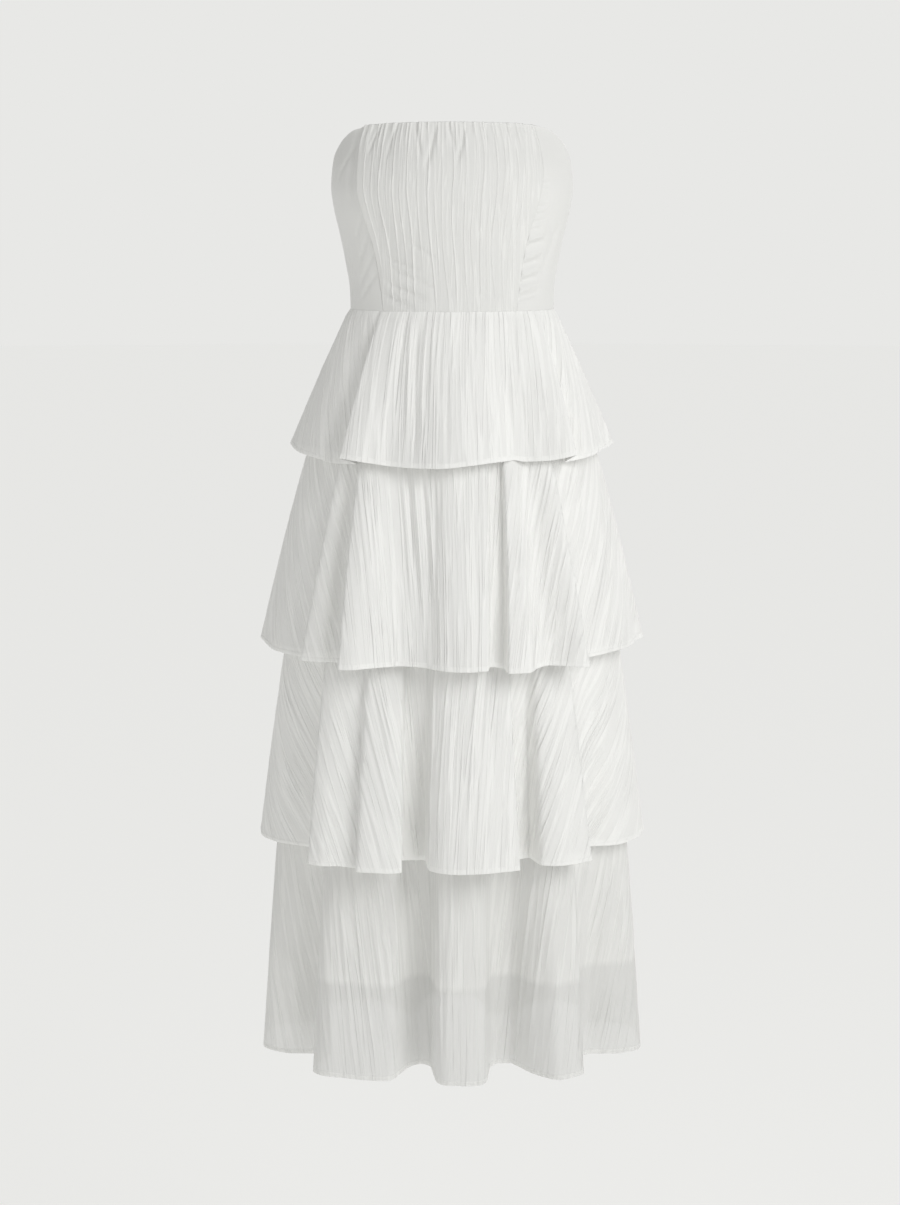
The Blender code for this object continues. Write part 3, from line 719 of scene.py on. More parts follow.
def creases_relief(cut, creases, x, y):
    height = np.zeros(x.shape)
    for crease in creases:
        ends = []
        for across, down in ((crease.across, crease.down), (crease.across_end, crease.down_end)):
            radius = cut.inner + (cut.outer - cut.inner) * down
            ends.append((across / MM, math.sqrt(radius**2 - (across / MM) ** 2)))
        height += trough(x, y, *ends, crease.depth, crease.width)
    return height


def flounce_relief(cut, creases, x, y, layer):
    """Height of everything that is pressed or sewn into a flounce."""
    hem_width = bpy.context.scene.dress_sizes.hem_width
    radius = np.hypot(x, y)
    from_hem, from_seam = cut.outer - radius, radius - cut.inner
    turn = np.arctan2(x, y)
    from_side = radius * np.minimum(np.abs(turn - cut.start), np.abs(turn - cut.end))
    height = wrinkles(x, y, layer) + creases_relief(cut, creases, x, y)
    gathers = 0.5 + 0.5 * chance(x, y, 0.006, 0.05, layer + 15.2)
    gathers *= smooth_step(0, 0.006, from_seam) * (1 - smooth_step(0.006, GATHER_REACH, from_seam))
    height = height + GATHER_RISE * gathers
    # Everything lies flatter at the side seams
    height *= 1 - SIDE_FLATTER * (1 - smooth_step(0, SIDE_REACH, from_side))
    # The doubled hem is stiffer, so the wrinkles are lower there
    inside_hem = 1 - smooth_step(hem_width, hem_width + 0.0010, from_hem)
    height *= 1 - HEM_FLATTER * inside_hem
    puckers = chance(x, y, 0.0045, 0.05, layer + 18.6)
    height += inside_hem * (HEM_RISE + HEM_PUCKER * puckers)
    height -= STITCH_DENT * ridge(from_hem - hem_width + STITCH_INSET, 0.0005)
    height -= EDGE_DIP * ridge(from_hem, 0.0004)
    height -= SIDE_DIP * ridge(from_side, 0.0012)
    return height * smooth_step(0, 0.005, from_seam) - SEAM_DIP * ridge(from_seam, 0.004)


def make_flounce(name, tier, folds, creases, cut, first, last, grid, layer, cloths):
    """One panel of a flounce, hung from its seam, and the pieces sewn on it.

    A sheer flounce shows its hem's turning, so there the turning is a strip of its own.
    """
    sizes = bpy.context.scene.dress_sizes
    x, y = flat_grid(cut, grid)
    points = hang(tier, folds, cut, first, last, x, y)
    relief = flounce_relief(cut, creases, x, y, layer)
    points = points + outward(points) * relief[..., None]
    from_hem = cut.outer - np.hypot(x, y)
    doubled_and_crest_highlight = 1 - smooth_step(sizes.hem_width - 0.0004, sizes.hem_width + 0.0004, from_hem)
    doubled_and_crest_highlight = np.maximum(doubled_and_crest_highlight, ridge(np.hypot(x, y) - cut.inner, 0.0015))
    if cloths.turning:
        doubled_and_crest_highlight = SHEER_HEM * doubled_and_crest_highlight
    # Painted shade: below the lining's edge the bottom flounce is darkened for the shaded inside seen
    # through it, but not on the wearer's right flank, which lies in shade, so no painted edge shows there
    lined_or_shaded_flank = smooth_step(LINING_SHOWS_TO - 0.001, LINING_SHOWS_TO + 0.001, points[..., 2])
    shaded_flank = 1 - smooth_step(SHADED_FLANK_FROM - 0.05, SHADED_FLANK_FROM, points[..., 0])
    lined_or_shaded_flank = BACKED * np.maximum(lined_or_shaded_flank, shaded_flank)
    backing_and_painted_light = lined_or_shaded_flank + (1 - lined_or_shaded_flank) * doubled_and_crest_highlight
    flat = np.stack([x, -y], axis=-1)
    thickness = sizes.cloth_thickness
    piece = cloth_piece(name, points, flat, cloths.outer, thickness, backing_and_painted_light, cloths.inner)
    out = outward(points)
    path, off = points[STITCH_ROW], out[STITCH_ROW]
    sewn_on = [thread_line(f"{name}_hem_stitching", path, off, cloths.thread)]
    if cloths.turning:
        hem = slice(1, STITCH_ROW + 2)
        strip = points[hem] - TURNING_BEHIND * thickness * out[hem]
        turning = f"{name}_hem_turning"
        sewn_on.append(cloth_piece(turning, strip, flat[hem], cloths.turning, thickness / 2))
    belongs(piece, name)
    for part in sewn_on:
        belongs(part)
    return piece, sewn_on


def turned_over(creases):
    """Creases for the back: the front's from the other side, a little longer and shallower."""
    return [
        row._replace(across=-row.across - 9, across_end=-row.across_end - 6, depth=0.9 * row.depth)
        for row in creases
    ]


# ---- bodice


def bodice_ring(height):
    return [read(BODICE_RINGS, name, height) for name in Ring._fields[1:]]


def top_height(angle):
    return read(TOP_EDGE, "height", np.minimum(np.abs(angle), 360 - np.abs(angle)))


def seam_angle(seam, height):
    """The angle of a bodice seam: a princess seam by its side, or one that is an angle itself."""
    if seam not in ("left", "right"):
        return np.full(np.shape(height), float(seam))
    angle = np.degrees(np.arcsin(read(PRINCESS_SEAMS, seam, height) / bodice_ring(height)[0]))
    return angle if seam == "left" else -angle


def panel_rows(count):
    """Shares of the way up a bodice panel, with close rows at the waist and the top edge."""
    inner = np.linspace(0.012, 0.975, count - 6)
    return np.concatenate([[-0.009, 0, 0.005], inner, [0.990, 0.9965, 1]])


def bodice_points(start, end, across, up):
    """Points of a bodice panel between two seams.

    A seam's angle depends on the height and the top edge's height on the angle, so a few rounds
    settle them both.
    """
    height = WAIST + up * (TOP_EDGE[0].height - WAIST)
    for _ in range(6):
        first, last = seam_angle(start, height), seam_angle(end, height)
        angle = first + (last - first) * across
        height = WAIST + up * (top_height(angle) - WAIST)
    side = (np.abs(angle) - BUST_ANGLE) / BUST_ANGLE_SPREAD
    level = (height - BUST_LEVEL) / BUST_LEVEL_SPREAD
    out = BUST_FULLNESS * np.exp(-(side**2) - level**2)
    x, y = on_ring(*bodice_ring(height), angle, out)
    return np.stack([x, y, height], axis=-1)


def edges_relief(at, dips):
    """Dips along the waist and at the first and last seam, and the turned edge at the top."""
    height = -0.0002 * (at.from_top > at.from_top[1:2])
    height += 0.0004 * ridge(at.from_top - 0.0012, 0.0012)
    from_first, from_last = at.x - at.x[:, :1], at.x[:, -1:] - at.x
    return height - dips[0] * ridge(from_first, 0.0011) - dips[1] * ridge(from_last, 0.0011)


def drags_relief(at, drags):
    """Soft troughs of a bodice panel, on its shares across and its heights."""
    width = float(np.median(lengths(at.points, axis=1)[:, -1]))
    height = np.zeros(at.across.shape)
    for drag in drags:
        start = (drag.across * width, drag.height / MM)
        end = (drag.across_end * width, drag.height_end / MM)
        height += trough(at.across * width, at.points[..., 2], start, end, drag.depth, drag.width)
    # Close to a seam the cloth stays close to its height, so that the panels still meet
    from_seam = width * np.minimum(at.across, 1 - at.across)
    return np.clip(height, -0.0001 - 1.2 * from_seam, 0.6 * from_seam)


def plain_relief(at):
    """The row of stitches under the top edge, and cloth that is never quite flat."""
    understitch = -0.00030 * ridge(at.from_top - 0.005, 0.0006)
    return understitch + 0.0004 * chance(at.x, at.y, 0.03, 0.05, 50.1)


def centre_front_relief(at):
    """The listed ridges, the gathers under the top edge and the small wrinkles between.

    Sines of their numbers make the ridges sway and vary the gathers' places, lengths and widths.
    """
    gather = bpy.context.scene.dress_sizes.gather_height
    across, down = at.across, 1 - at.up
    width = lengths(at.points, axis=1)[:, -1:]
    height = np.zeros(across.shape)
    for n, row in enumerate(CENTRE_RIDGES):
        path = smooth_curve((0, 0.5, 1), (row.top, row.middle, row.waist), down)
        sway = RIDGE_SWAY * np.sin(down * (9 + n % 4) + n * 1.9)
        length = smooth_step(row.start - 0.05, row.start + 0.08, down)
        length *= 1 - smooth_step(row.end - 0.10, row.end + 0.04, down)
        crest = ridge((across - path) * width + sway, RIDGE_REACH * row.width / MM)
        height += RIDGE_RISE * row.height / MM * length * crest
    for n in range(GATHERS):
        place = (n + 0.5 + 0.32 * math.sin(n * 2.4)) / GATHERS
        reach = 0.08 + 0.14 * (0.5 + 0.5 * math.sin(n * 1.73 + 0.6))
        path = place + GATHERS_FAN * (place - GATHERS_STRAIGHT) * down
        fade = (1 - smooth_step(0.2 * reach, reach, down)) * (0.7 + 0.3 * math.sin(n * 3.1))
        half_width = 0.0013 + 0.0005 * math.sin(n * 1.3 + 0.4)
        height += gather * fade * ridge((across - path) * width, half_width)
    # The cloth stands up from its right seam, most of all over the bust, and falls away from there
    from_right = across * width
    lip = RIGHT_LIP * (0.35 + 0.65 * smooth_step(0.15, 0.55, at.up))
    height += lip * smooth_step(0, 0.0016, from_right) * ridge(from_right, 0.020)
    x = at.x + 0.0016 * chance(at.x, at.y, 0.04, 0.08, 40.2)
    return height + pressed_in(CENTRE_WRINKLES, x, at.y)


def make_bodice_panel(name, start, end, grid, relief, dips, drags, finish, facing):
    """A bodice panel from its first seam to its last, which dip in by so much each."""
    sizes = bpy.context.scene.dress_sizes
    across, up = np.meshgrid(np.linspace(0, 1, grid.columns), panel_rows(grid.rows))
    points = bodice_points(start, end, across, up)
    tall = lengths(points)
    at = Places(points, across, up, from_middle(points), points[..., 2], tall[-1:] - tall)
    face = relief(at)
    # Raised relief and the turned top edge are whitened as doubled cloth: the top edge is really doubled,
    # the whitening of the raised crests is painted highlight
    doubled_and_crest_highlight = smooth_step(0.0006, 0.0015, face) + ridge(at.from_top - 0.0008, 0.0010)
    backing_and_painted_light = BACKED + (1 - BACKED) * np.minimum(doubled_and_crest_highlight, 1)
    height = edges_relief(at, dips) + face + drags_relief(at, drags)
    points = points + outward(points) * height[..., None]
    flat = np.stack([at.x, at.y], axis=-1)
    piece = cloth_piece(name, points, flat, finish, sizes.bodice_thickness, backing_and_painted_light, facing)
    belongs(piece, name)
    size = float((at.x[:, -1] - at.x[:, 0]).max()), float(lengths(points)[-1].max())
    return points


def mirrored(drags):
    return [drag._replace(across=1 - drag.across, across_end=1 - drag.across_end) for drag in drags]


# ---- lining


def lining_sizes(height):
    """Ring sizes of the lining: inside each flounce's seam, and straight between them."""
    last = TIERS["tier_4"]
    share = (last.seam.height - LINING_HEM) / (last.seam.height - last.hem.height)
    hem = [a + (b - a) * share**last.flare for a, b in zip(last.seam[1:], last.hem[1:])]
    rings = [(-tier.seam.height, *tier.seam[1:], LINING_SEAM_INSET) for tier in TIERS.values()]
    rings.append((-LINING_HEM, *hem, LINING_INSET))
    downs, *sizes, insets = np.array(rings).T
    below = np.clip(np.searchsorted(downs, -height, side="left"), 1, len(rings) - 1)
    share = (-height - downs[below - 1]) / (downs[below] - downs[below - 1])
    gap = insets[below - 1] + (insets[below] - insets[below - 1]) * np.sqrt(np.maximum(share, 0))
    return [size[below - 1] + (size[below] - size[below - 1]) * share - gap for size in sizes]


def lining_points(folds, angle, height):
    tier = TIERS["tier_4"]
    down = (tier.seam.height - height) / (tier.seam.height - tier.hem.height)
    out = standing_off(tier, folds_at(folds, angle)[0], down) * LINING_FOLLOWS
    x, y = on_ring(*lining_sizes(height), angle, out)
    return np.stack([x, y, height], axis=-1)


def make_lining_panel(name, folds, first, last, grid, finish):
    sizes = bpy.context.scene.dress_sizes
    hem_rows = (0, 0.0006, LINING_HEM_WIDTH - 0.0003, LINING_HEM_WIDTH + 0.0005)
    rows = np.append(hem_rows, np.linspace(0.022, WAIST - LINING_HEM, grid.rows - 4))
    angle, height = np.meshgrid(np.linspace(first, last, grid.columns), LINING_HEM + rows)
    points = lining_points(folds, angle, height)
    x = from_middle(points)
    from_hem = height - LINING_HEM
    relief = 0.0006 * chance(x, height, 0.05, 0.16, 60.3)
    relief += 0.0003 * (1 - smooth_step(LINING_HEM_WIDTH, LINING_HEM_WIDTH + 0.0007, from_hem))
    relief -= 0.0002 * ridge(from_hem, 0.0004)
    points = points + outward(points) * relief[..., None]
    piece = cloth_piece(name, points, np.stack([x, height], axis=-1), finish, sizes.lining_thickness)
    belongs(piece, name)
    width, tall = float((x[:, -1] - x[:, 0]).max()), float(lengths(points)[-1].mean())


# ---- materials


def add(tree, kind, inputs=(), **settings):
    """Adds one node; each input is a value, or an output that is linked to it."""
    node = tree.nodes.new(f"ShaderNode{kind}")
    for name, value in settings.items():
        setattr(node, name, value)
    for name, value in dict(inputs).items():
        if isinstance(value, bpy.types.NodeSocket):
            tree.links.new(value, node.inputs[name])
        else:
            node.inputs[name].default_value = value
    return node


def worked_out(tree, operation, *values):
    return add(tree, "Math", dict(enumerate(values)), operation=operation).outputs["Value"]


def in_range(tree, value, low, high, to_low=0.0, to_high=1.0, **settings):
    inputs = {"Value": value, "From Min": low, "From Max": high, "To Min": to_low, "To Max": to_high}
    return add(tree, "MapRange", inputs, **settings).outputs["Result"]


def mixed(tree, share, first, second):
    """Two colours mixed; each is an output or a plain colour."""
    first, second = ((*tone, 1) if isinstance(tone, tuple) else tone for tone in (first, second))
    inputs = {"Factor": share, "A": first, "B": second}
    return add(tree, "Mix", inputs, data_type="RGBA").outputs["Result"]


def new_material(name, shade):
    """A material whose surface is one principled shader, with the inputs that shade works out."""
    made = bpy.data.materials.get(name) or bpy.data.materials.new(name)
    made.use_nodes = True
    tree = made.node_tree
    tree.nodes.clear()
    shader = add(tree, "BsdfPrincipled", shade(tree))
    add(tree, "OutputMaterial", {"Surface": shader.outputs["BSDF"]})
    return made


def scaled(colour, by):
    return tuple(min(1, by * part) for part in colour)


def flat_pattern(tree, across, along, detail=2.0, distortion=0.0):
    """Noise on the flat cut with grains of a real size in metres across and along."""
    cut = add(tree, "UVMap", uv_map="flat_cut").outputs["UV"]
    sized = add(tree, "Mapping", {"Vector": cut, "Scale": (1 / across, 1 / along, 1)}).outputs["Vector"]
    inputs = {"Vector": sized, "Scale": 1, "Detail": detail, "Roughness": 0.55, "Distortion": distortion}
    return add(tree, "TexNoise", inputs).outputs["Fac"]


def pressed_ridges(tree, row):
    """Heights in metres of narrow ridges along the grain, where a drawn-out noise passes a level."""
    fine = flat_pattern(tree, row.across, row.along, 1.0, 0.3)
    near = worked_out(tree, "ABSOLUTE", worked_out(tree, "SUBTRACT", fine, row.level))
    return in_range(tree, near, 0.0, row.width, row.height, 0.0, interpolation_type="SMOOTHSTEP")


def cloth_material(name, colour, ridges, thread, roughness, sheen, alpha=1.0, glow=0.0):
    """Woven cloth: threads of a given width, pressed ridges along the grain, and a soft face."""
    colour = tuple(colour)

    def shade(tree):
        warp = flat_pattern(tree, thread, thread * 12, 1.0)
        weft = flat_pattern(tree, thread * 12, thread, 1.0)
        heights = worked_out(tree, "MULTIPLY", worked_out(tree, "ADD", warp, weft), thread / 6)
        # What lies behind the cloth, which carries painted shade where nothing does; where it is pinched
        # into a ridge it counts as doubled, and that whitening of its crest is painted highlight
        behind = doubled_and_crest_highlight = add(tree, "Attribute", attribute_name="backing_and_painted_light").outputs["Fac"]
        if ridges:
            patches = in_range(tree, flat_pattern(tree, 0.05, 0.09), 0.3, 0.7, 0.45, 1.25)
            pressed = pressed_ridges(tree, ridges[0])
            for row in ridges[1:]:
                pressed = worked_out(tree, "ADD", pressed, pressed_ridges(tree, row))
            heights = worked_out(tree, "MULTIPLY_ADD", pressed, patches, heights)
            # Painted highlight: the crests of the pressed ridges are whitened as if the cloth were
            # doubled there
            high = ridges[0].height
            pinched_crest_highlight = in_range(tree, pressed, 0.3 * high, high, interpolation_type="SMOOTHSTEP")
            doubled_and_crest_highlight = worked_out(tree, "MULTIPLY_ADD", pinched_crest_highlight, 1 - BACKED, behind)
        bump = add(tree, "Bump", {"Height": heights, "Strength": 1.0, "Distance": 1.0})
        # Cloudy where the weave is closer or looser; darker with nothing behind it, as painted shade for
        # the shaded inside seen through; whiter where doubled, which on the pinched crests is painted
        # highlight
        tint = mixed(tree, flat_pattern(tree, 0.004, 0.03), colour, scaled(colour, LOOSE_TONE))
        tint = mixed(tree, in_range(tree, behind, 0, BACKED), scaled(colour, BARE_PAINTED_SHADE_TONE), tint)
        tint = mixed(tree, in_range(tree, doubled_and_crest_highlight, BACKED, 1), tint, scaled(colour, DOUBLED_AND_CREST_HIGHLIGHT_TONE))
        return {
            "Base Color": tint,
            "Roughness": roughness,
            "Specular IOR Level": 0.25,
            "Sheen Weight": sheen,
            "Sheen Roughness": 0.5,
            "Alpha": alpha,
            "Emission Color": (*colour, 1),
            "Emission Strength": glow,
            "Normal": bump.outputs["Normal"],
        }

    return new_material(name, shade)


def hard_material(name, colour, grain, relief, roughness, coat=0.0):
    """A hard finish with a fine grain of a real size, slightly uneven in colour and gloss."""
    colour = tuple(colour)

    def shade(tree):
        place = add(tree, "TexCoord").outputs["Object"]
        inputs = {"Vector": place, "Scale": 1 / grain, "Detail": 2.0, "Roughness": 0.5}
        uneven = add(tree, "TexNoise", inputs).outputs["Fac"]
        bump = add(tree, "Bump", {"Height": uneven, "Strength": 1.0, "Distance": relief})
        return {
            "Base Color": mixed(tree, uneven, colour, scaled(colour, 0.95)),
            "Roughness": in_range(tree, uneven, 0, 1, roughness - 0.05, roughness + 0.05),
            "Coat Weight": coat,
            "Normal": bump.outputs["Normal"],
        }

    return new_material(name, shade)


def thread_material(colour):
    """Sewing thread: spun polyester, two strands twisted together, so its shine is broken up."""

    def shade(tree):
        place = add(tree, "TexCoord").outputs["Object"]
        inputs = {"Vector": place, "Scale": 4000.0, "Detail": 1.0, "Roughness": 0.5}
        twist = add(tree, "TexNoise", inputs).outputs["Fac"]
        bump = add(tree, "Bump", {"Height": twist, "Strength": 0.5, "Distance": 0.0001})
        return {"Base Color": (*colour, 1), "Roughness": 0.55, "Normal": bump.outputs["Normal"]}

    return new_material("sewing_thread", shade)


# Crinkle gauze: loose cotton weave pressed wet into lengthwise wrinkles, which leaves a matt, dry
# face. Its threads are drawn coarser than their real 0.3 mm, which wouldn't show
GAUZE = {"thread": 0.0007, "roughness": 0.88, "sheen": 0.12}


# ---- zip


def make_zip_teeth(finish):
    """Two rows of teeth that lock into one another down the centre back seam."""
    chain = bmesh.new()
    size = (TOOTH_REACH, TOOTH_DEPTH, TOOTH_HEIGHT * TOOTH_PITCH)
    aside = TOOTH_ASIDE * TOOTH_REACH
    top = float(top_height(180)) - TEETH_END_BELOW_TOP
    for level in np.arange(WAIST + TOOTH_PITCH, top, TOOTH_PITCH):
        for side in (-1, 1):
            height = level + side * TOOTH_PITCH / 4
            deep = float(bodice_ring(height)[2]) - TOOTH_IN * TOOTH_DEPTH
            tooth = bmesh.ops.create_cube(chain, size=1)["verts"]
            bmesh.ops.scale(chain, verts=tooth, vec=size)
            bmesh.ops.translate(chain, verts=tooth, vec=(side * aside, deep, height))
    teeth = new_object("zip_teeth", mesh_from("zip_teeth", chain), finish)
    soft = teeth.modifiers.new("Rounded", "BEVEL")
    soft.width = 0.00012
    soft.segments = 1
    belongs(teeth)


# ---- stage


def studio_floor(stage):
    """Matt emulsion on board, so nothing is mirrored; its own light lets it meet the wall softly."""

    def shade(tree):
        return {
            "Base Color": (*stage.floor, 1),
            "Roughness": 1.0,
            "Specular IOR Level": 0.0,
            "Emission Color": (*stage.surround, 1),
            "Emission Strength": stage.floor_glow,
        }

    disc = bmesh.new()
    bmesh.ops.create_circle(disc, cap_ends=True, segments=64, radius=FLOOR_RADIUS)
    bmesh.ops.translate(disc, verts=disc.verts, vec=(0, 0, FLOOR_LEVEL))
    paint = new_material("studio_floor_paint", shade)
    new_object("studio_floor", mesh_from("studio_floor", disc), paint)


def studio_walls(scene):
    """Bright walls all round under a darker ceiling."""
    stage = scene.dress_stage
    scene.world = bpy.data.worlds.new("studio")
    scene.world.use_nodes = True
    tree = scene.world.node_tree
    tree.nodes.clear()
    looking = add(tree, "TexCoord").outputs["Generated"]
    rise = add(tree, "SeparateXYZ", {"Vector": looking}).outputs["Z"]
    low, high = WALL_TOP - WALL_FADE, WALL_TOP + WALL_FADE
    strength = in_range(tree, rise, low, high, 1.0, stage.ceiling, interpolation_type="SMOOTHSTEP")
    sky = add(tree, "Background", {"Color": (*stage.surround, 1), "Strength": strength})
    add(tree, "OutputWorld", {"Surface": sky.outputs["Background"]})


def studio_lights(stage):
    """A large soft key light from the right and weak broad lights from behind and the left."""
    lamp = bpy.data.lights.new("key", "AREA")
    lamp.energy = stage.key_power
    lamp.shape = "DISK"
    lamp.size = stage.key_size
    key = new_object("key", lamp)
    tipped = Matrix.Rotation(math.pi / 2 - stage.key_rise, 4, "X")
    turned = Matrix.Rotation(stage.key_turn, 4, "Z") @ tipped
    away = turned @ Vector((0, 0, stage.key_distance))
    key.matrix_world = Matrix.Translation(Vector((0, 0, KEY_AIM)) + away) @ turned
    soft_lights = (
        ("back_light", stage.back_strength, stage.back_turn, BACK_RISE),
        ("fill_light", stage.fill_strength, stage.fill_turn, FILL_RISE),
    )
    for name, strength, turn, rise in soft_lights:
        glow = bpy.data.lights.new(name, "SUN")
        glow.energy = strength
        glow.angle = SOFT_LIGHT_WIDTH
        light = new_object(name, glow)
        light.rotation_euler = (math.pi / 2 - rise, 0, turn)


def studio_camera(scene):
    stage = scene.dress_stage
    lens = bpy.data.cameras.new("camera")
    lens.sensor_fit = "VERTICAL"
    lens.sensor_height = 36
    lens.lens = LENS
    camera = new_object("camera", lens)
    camera.location = (CAMERA_ASIDE, -stage.camera_distance, CAMERA_HEIGHT)
    camera.rotation_euler = (math.pi / 2 - stage.camera_tilt, 0, 0)
    scene.camera = camera


# ---- settings


def a_length(name, description, default):
    return FloatProperty(name=name, description=description, default=default, unit="LENGTH")


def an_angle(name, description, degrees):
    turn = math.radians(degrees)
    return FloatProperty(name=name, description=description, default=turn, subtype="ANGLE")


def a_share(name, description, default):
    return FloatProperty(
        name=name, description=description, default=default, min=0, soft_max=1, subtype="FACTOR"
    )


def a_colour(name, description, code):
    tone = linear(code)
    return FloatVectorProperty(name=name, description=description, default=tone, subtype="COLOR")


class DressSizes(bpy.types.PropertyGroup):
    """Sizes of the cloth and its sewing"""

    cloth_thickness: a_length("Cloth thickness", "Thickness of the crinkle cloth", 0.0004)
    lining_thickness: a_length("Lining thickness", "Thickness of the lining", 0.0003)
    bodice_thickness: a_length("Bodice thickness", "The bodice's cloth with its facing", 0.0012)
    wrinkle_height: a_length("Wrinkle height", "Height of the largest pressed wrinkles", 0.0007)
    gather_height: a_length("Gather height", "Height of the gathers under the top edge", 0.0018)
    stitch_pitch: a_length("Stitch pitch", "Distance from one stitch to the next", 0.003)
    thread_width: a_length("Thread width", "Thickness of the sewing thread", 0.0003)
    hem_width: a_length("Hem width", "Width of the stitched hems", 0.006)


class DressColours(bpy.types.PropertyGroup):
    """Colours of the cloth"""

    crinkle: a_colour("Crinkle cloth", "Colour of the upper three flounces", "F3F3F1")
    sheer: a_colour("Sheer cloth", "Bottom flounce, where one layer gives back less light", "F0F0EE")
    # Set darker than the plain cloth as painted shade for the self-shadow of the centre front's wrinkles
    painted_shade_bodice_crinkle: a_colour("Crinkle on the bodice", "Centre front, over the plain cloth", "E4E4E2")
    plain: a_colour("Plain cloth", "Colour of the bodice's side and back panels", "E7E7E5")
    lining: a_colour("Lining", "Colour of the lining", "F5F5F2")
    zip: a_colour("Zip", "Colour of the zip", "F2F2EF")
    sheerness: a_share("Sheerness", "How much shows through the bottom flounce's outer face", 0.15)


class DressStage(bpy.types.PropertyGroup):
    """Camera and light"""

    camera_distance: a_length("Camera distance", "How far the camera stands from the dress", 2.9)
    camera_tilt: an_angle("Camera tilt", "How far the camera looks down", 9.778)
    key_power: FloatProperty(
        name="Key power", description="Power of the soft key light", default=45.5, unit="POWER"
    )
    key_size: a_length("Key size", "Width of the soft key light", 2.0)
    key_distance: a_length("Key distance", "How far the key light stands from the dress", 3.4)
    key_rise: an_angle("Key rise", "How high the key light stands", 26)
    key_turn: an_angle("Key turn", "How far the key light stands round to the right", 39)
    back_strength: a_share("Back light", "Strength of the soft light behind the dress", 0.6)
    back_turn: an_angle("Back light turn", "How far the back light stands round to the right", 152)
    fill_strength: a_share("Fill light", "Strength of the soft light from the left", 0.09)
    fill_turn: an_angle("Fill light turn", "How far the fill light stands round to the right", -70)
    ceiling: a_share("Ceiling", "Brightness overhead as a share of the walls'", 0.42)
    floor: a_colour("Floor", "Colour of the studio floor", "A8A8A7")
    floor_glow: a_share("Floor glow", "The floor's own light, as a share of the walls'", 0.765)
    surround: a_colour("Surroundings", "Colour of the studio's walls", "E8E8E6")


# ---- operators


class DRESS_OT_bodice(bpy.types.Operator):
    """Make the five panels of the bodice"""

    bl_idname = "dress.bodice"
    bl_label = "Bodice"

    def execute(self, context):
        colours = context.scene.dress_colours
        # The gauze lies on the plain cloth here; its colour is set a little darker than the plain
        # cloth's, as painted shade for the self-shadow of its wrinkles
        gauze = cloth_material("bodice_crinkle_gauze_painted_shade", colours.painted_shade_bodice_crinkle, FINE_CRINKLE, **GAUZE)
        # Cotton sateen: smooth close weave with a faint sheen, its threads drawn coarser than their
        # real 0.2 mm
        plain = cloth_material("bodice_cotton_sateen", colours.plain, (), 0.0006, 0.62, 0.10)
        make_bodice_panel(
            "bodice_centre_front", "right", "left", Grid(420, 66), centre_front_relief,
            (0.0003, 0.0001), CENTRE_DRAGS, gauze, plain,
        )
        # Each panel's name, its first and last seam, its grid, how far those seams dip in, its drags
        plain_panels = (
            ("side_front_right", -90, "right", Grid(80, 90), (0.0005, 0.0002), RIGHT_SIDE_DRAGS),
            ("side_front_left", "left", 90, Grid(80, 120), (0.0001, 0.0005), LEFT_SIDE_DRAGS),
            ("back_left", 90, 180, Grid(100, 50), (0.0006, 0.0011), BACK_DRAGS),
            ("back_right", 180, 270, Grid(100, 50), (0.0011, 0.0006), mirrored(BACK_DRAGS)),
        )
        made = {}
        for name, start, end, grid, dips, drags in plain_panels:
            made[name] = make_bodice_panel(
                f"bodice_{name}", start, end, grid, plain_relief, dips, drags, plain, None
            )
        thread = thread_material(colours.plain)
        for side in ("left", "right"):
            points = made[f"back_{side}"]
            # The stitching beside the zip follows the panel's column that is nearest to it
            column = np.argmin(np.abs(np.abs(points[10, :, 0]) - ZIP_STITCH_INSET))
            path, out = points[2:, column], outward(points)[2:, column]
            belongs(thread_line(f"zip_stitching_{side}", path, out, thread))
        return {"FINISHED"}


class DRESS_OT_flounces(bpy.types.Operator):
    """Make the four flounces of crinkle cloth"""

    bl_idname = "dress.flounces"
    bl_label = "Flounces"

    def execute(self, context):
        colours = context.scene.dress_colours
        crinkle = colours.crinkle
        thread = thread_material(crinkle)
        opaque = Cloths(
            outer=cloth_material("flounce_crinkle_gauze", crinkle, CRINKLE, **GAUZE),
            inner=None,
            turning=None,
            thread=thread,
        )
        # The bottom flounce has nothing close behind it, so it shows what lies inside. Its inner
        # face hides next to nothing more, so that both faces together are as sheer as the cloth, and
        # the hem's turning glows a little for the light that comes through
        seen = 1 - colours.sheerness
        sheer = Cloths(
            outer=cloth_material("sheer_crinkle_gauze", colours.sheer, CRINKLE, alpha=seen, **GAUZE),
            inner=cloth_material("sheer_crinkle_gauze_inside", crinkle, (), alpha=0.12, **GAUZE),
            turning=cloth_material("hem_turning_gauze", crinkle, (), glow=0.15, **GAUZE),
            thread=thread,
        )
        for number, (name, tier) in enumerate(TIERS.items()):
            cloths = sheer if name == "tier_4" else opaque
            front_cut = tier_cut(tier, tier.front_folds, -90, 90)
            back_cut = tier_cut(tier, tier.back_folds, 90, 270)
            panels = [("front", front_cut, -90, 90)]
            if name == "tier_1":
                # The zip parts the back of the first flounce
                panels.append(("back_left", back_cut._replace(end=0.0), 90, 180))
                panels.append(("back_right", back_cut._replace(start=0.0), 180, 270))
            else:
                panels.append(("back", back_cut, 90, 270))
            for side, cut, first, last in panels:
                folds, creases, layer = tier.front_folds, CREASES[name], 100.0 * (number + 1)
                grid = TIER_GRIDS[name][side != "front"]
                if side != "front":
                    folds, creases, layer = tier.back_folds, turned_over(creases), layer + 50
                piece, sewn_on = make_flounce(
                    f"{name}_{side}", tier, folds, creases, cut, first, last, grid, layer, cloths
                )
        return {"FINISHED"}


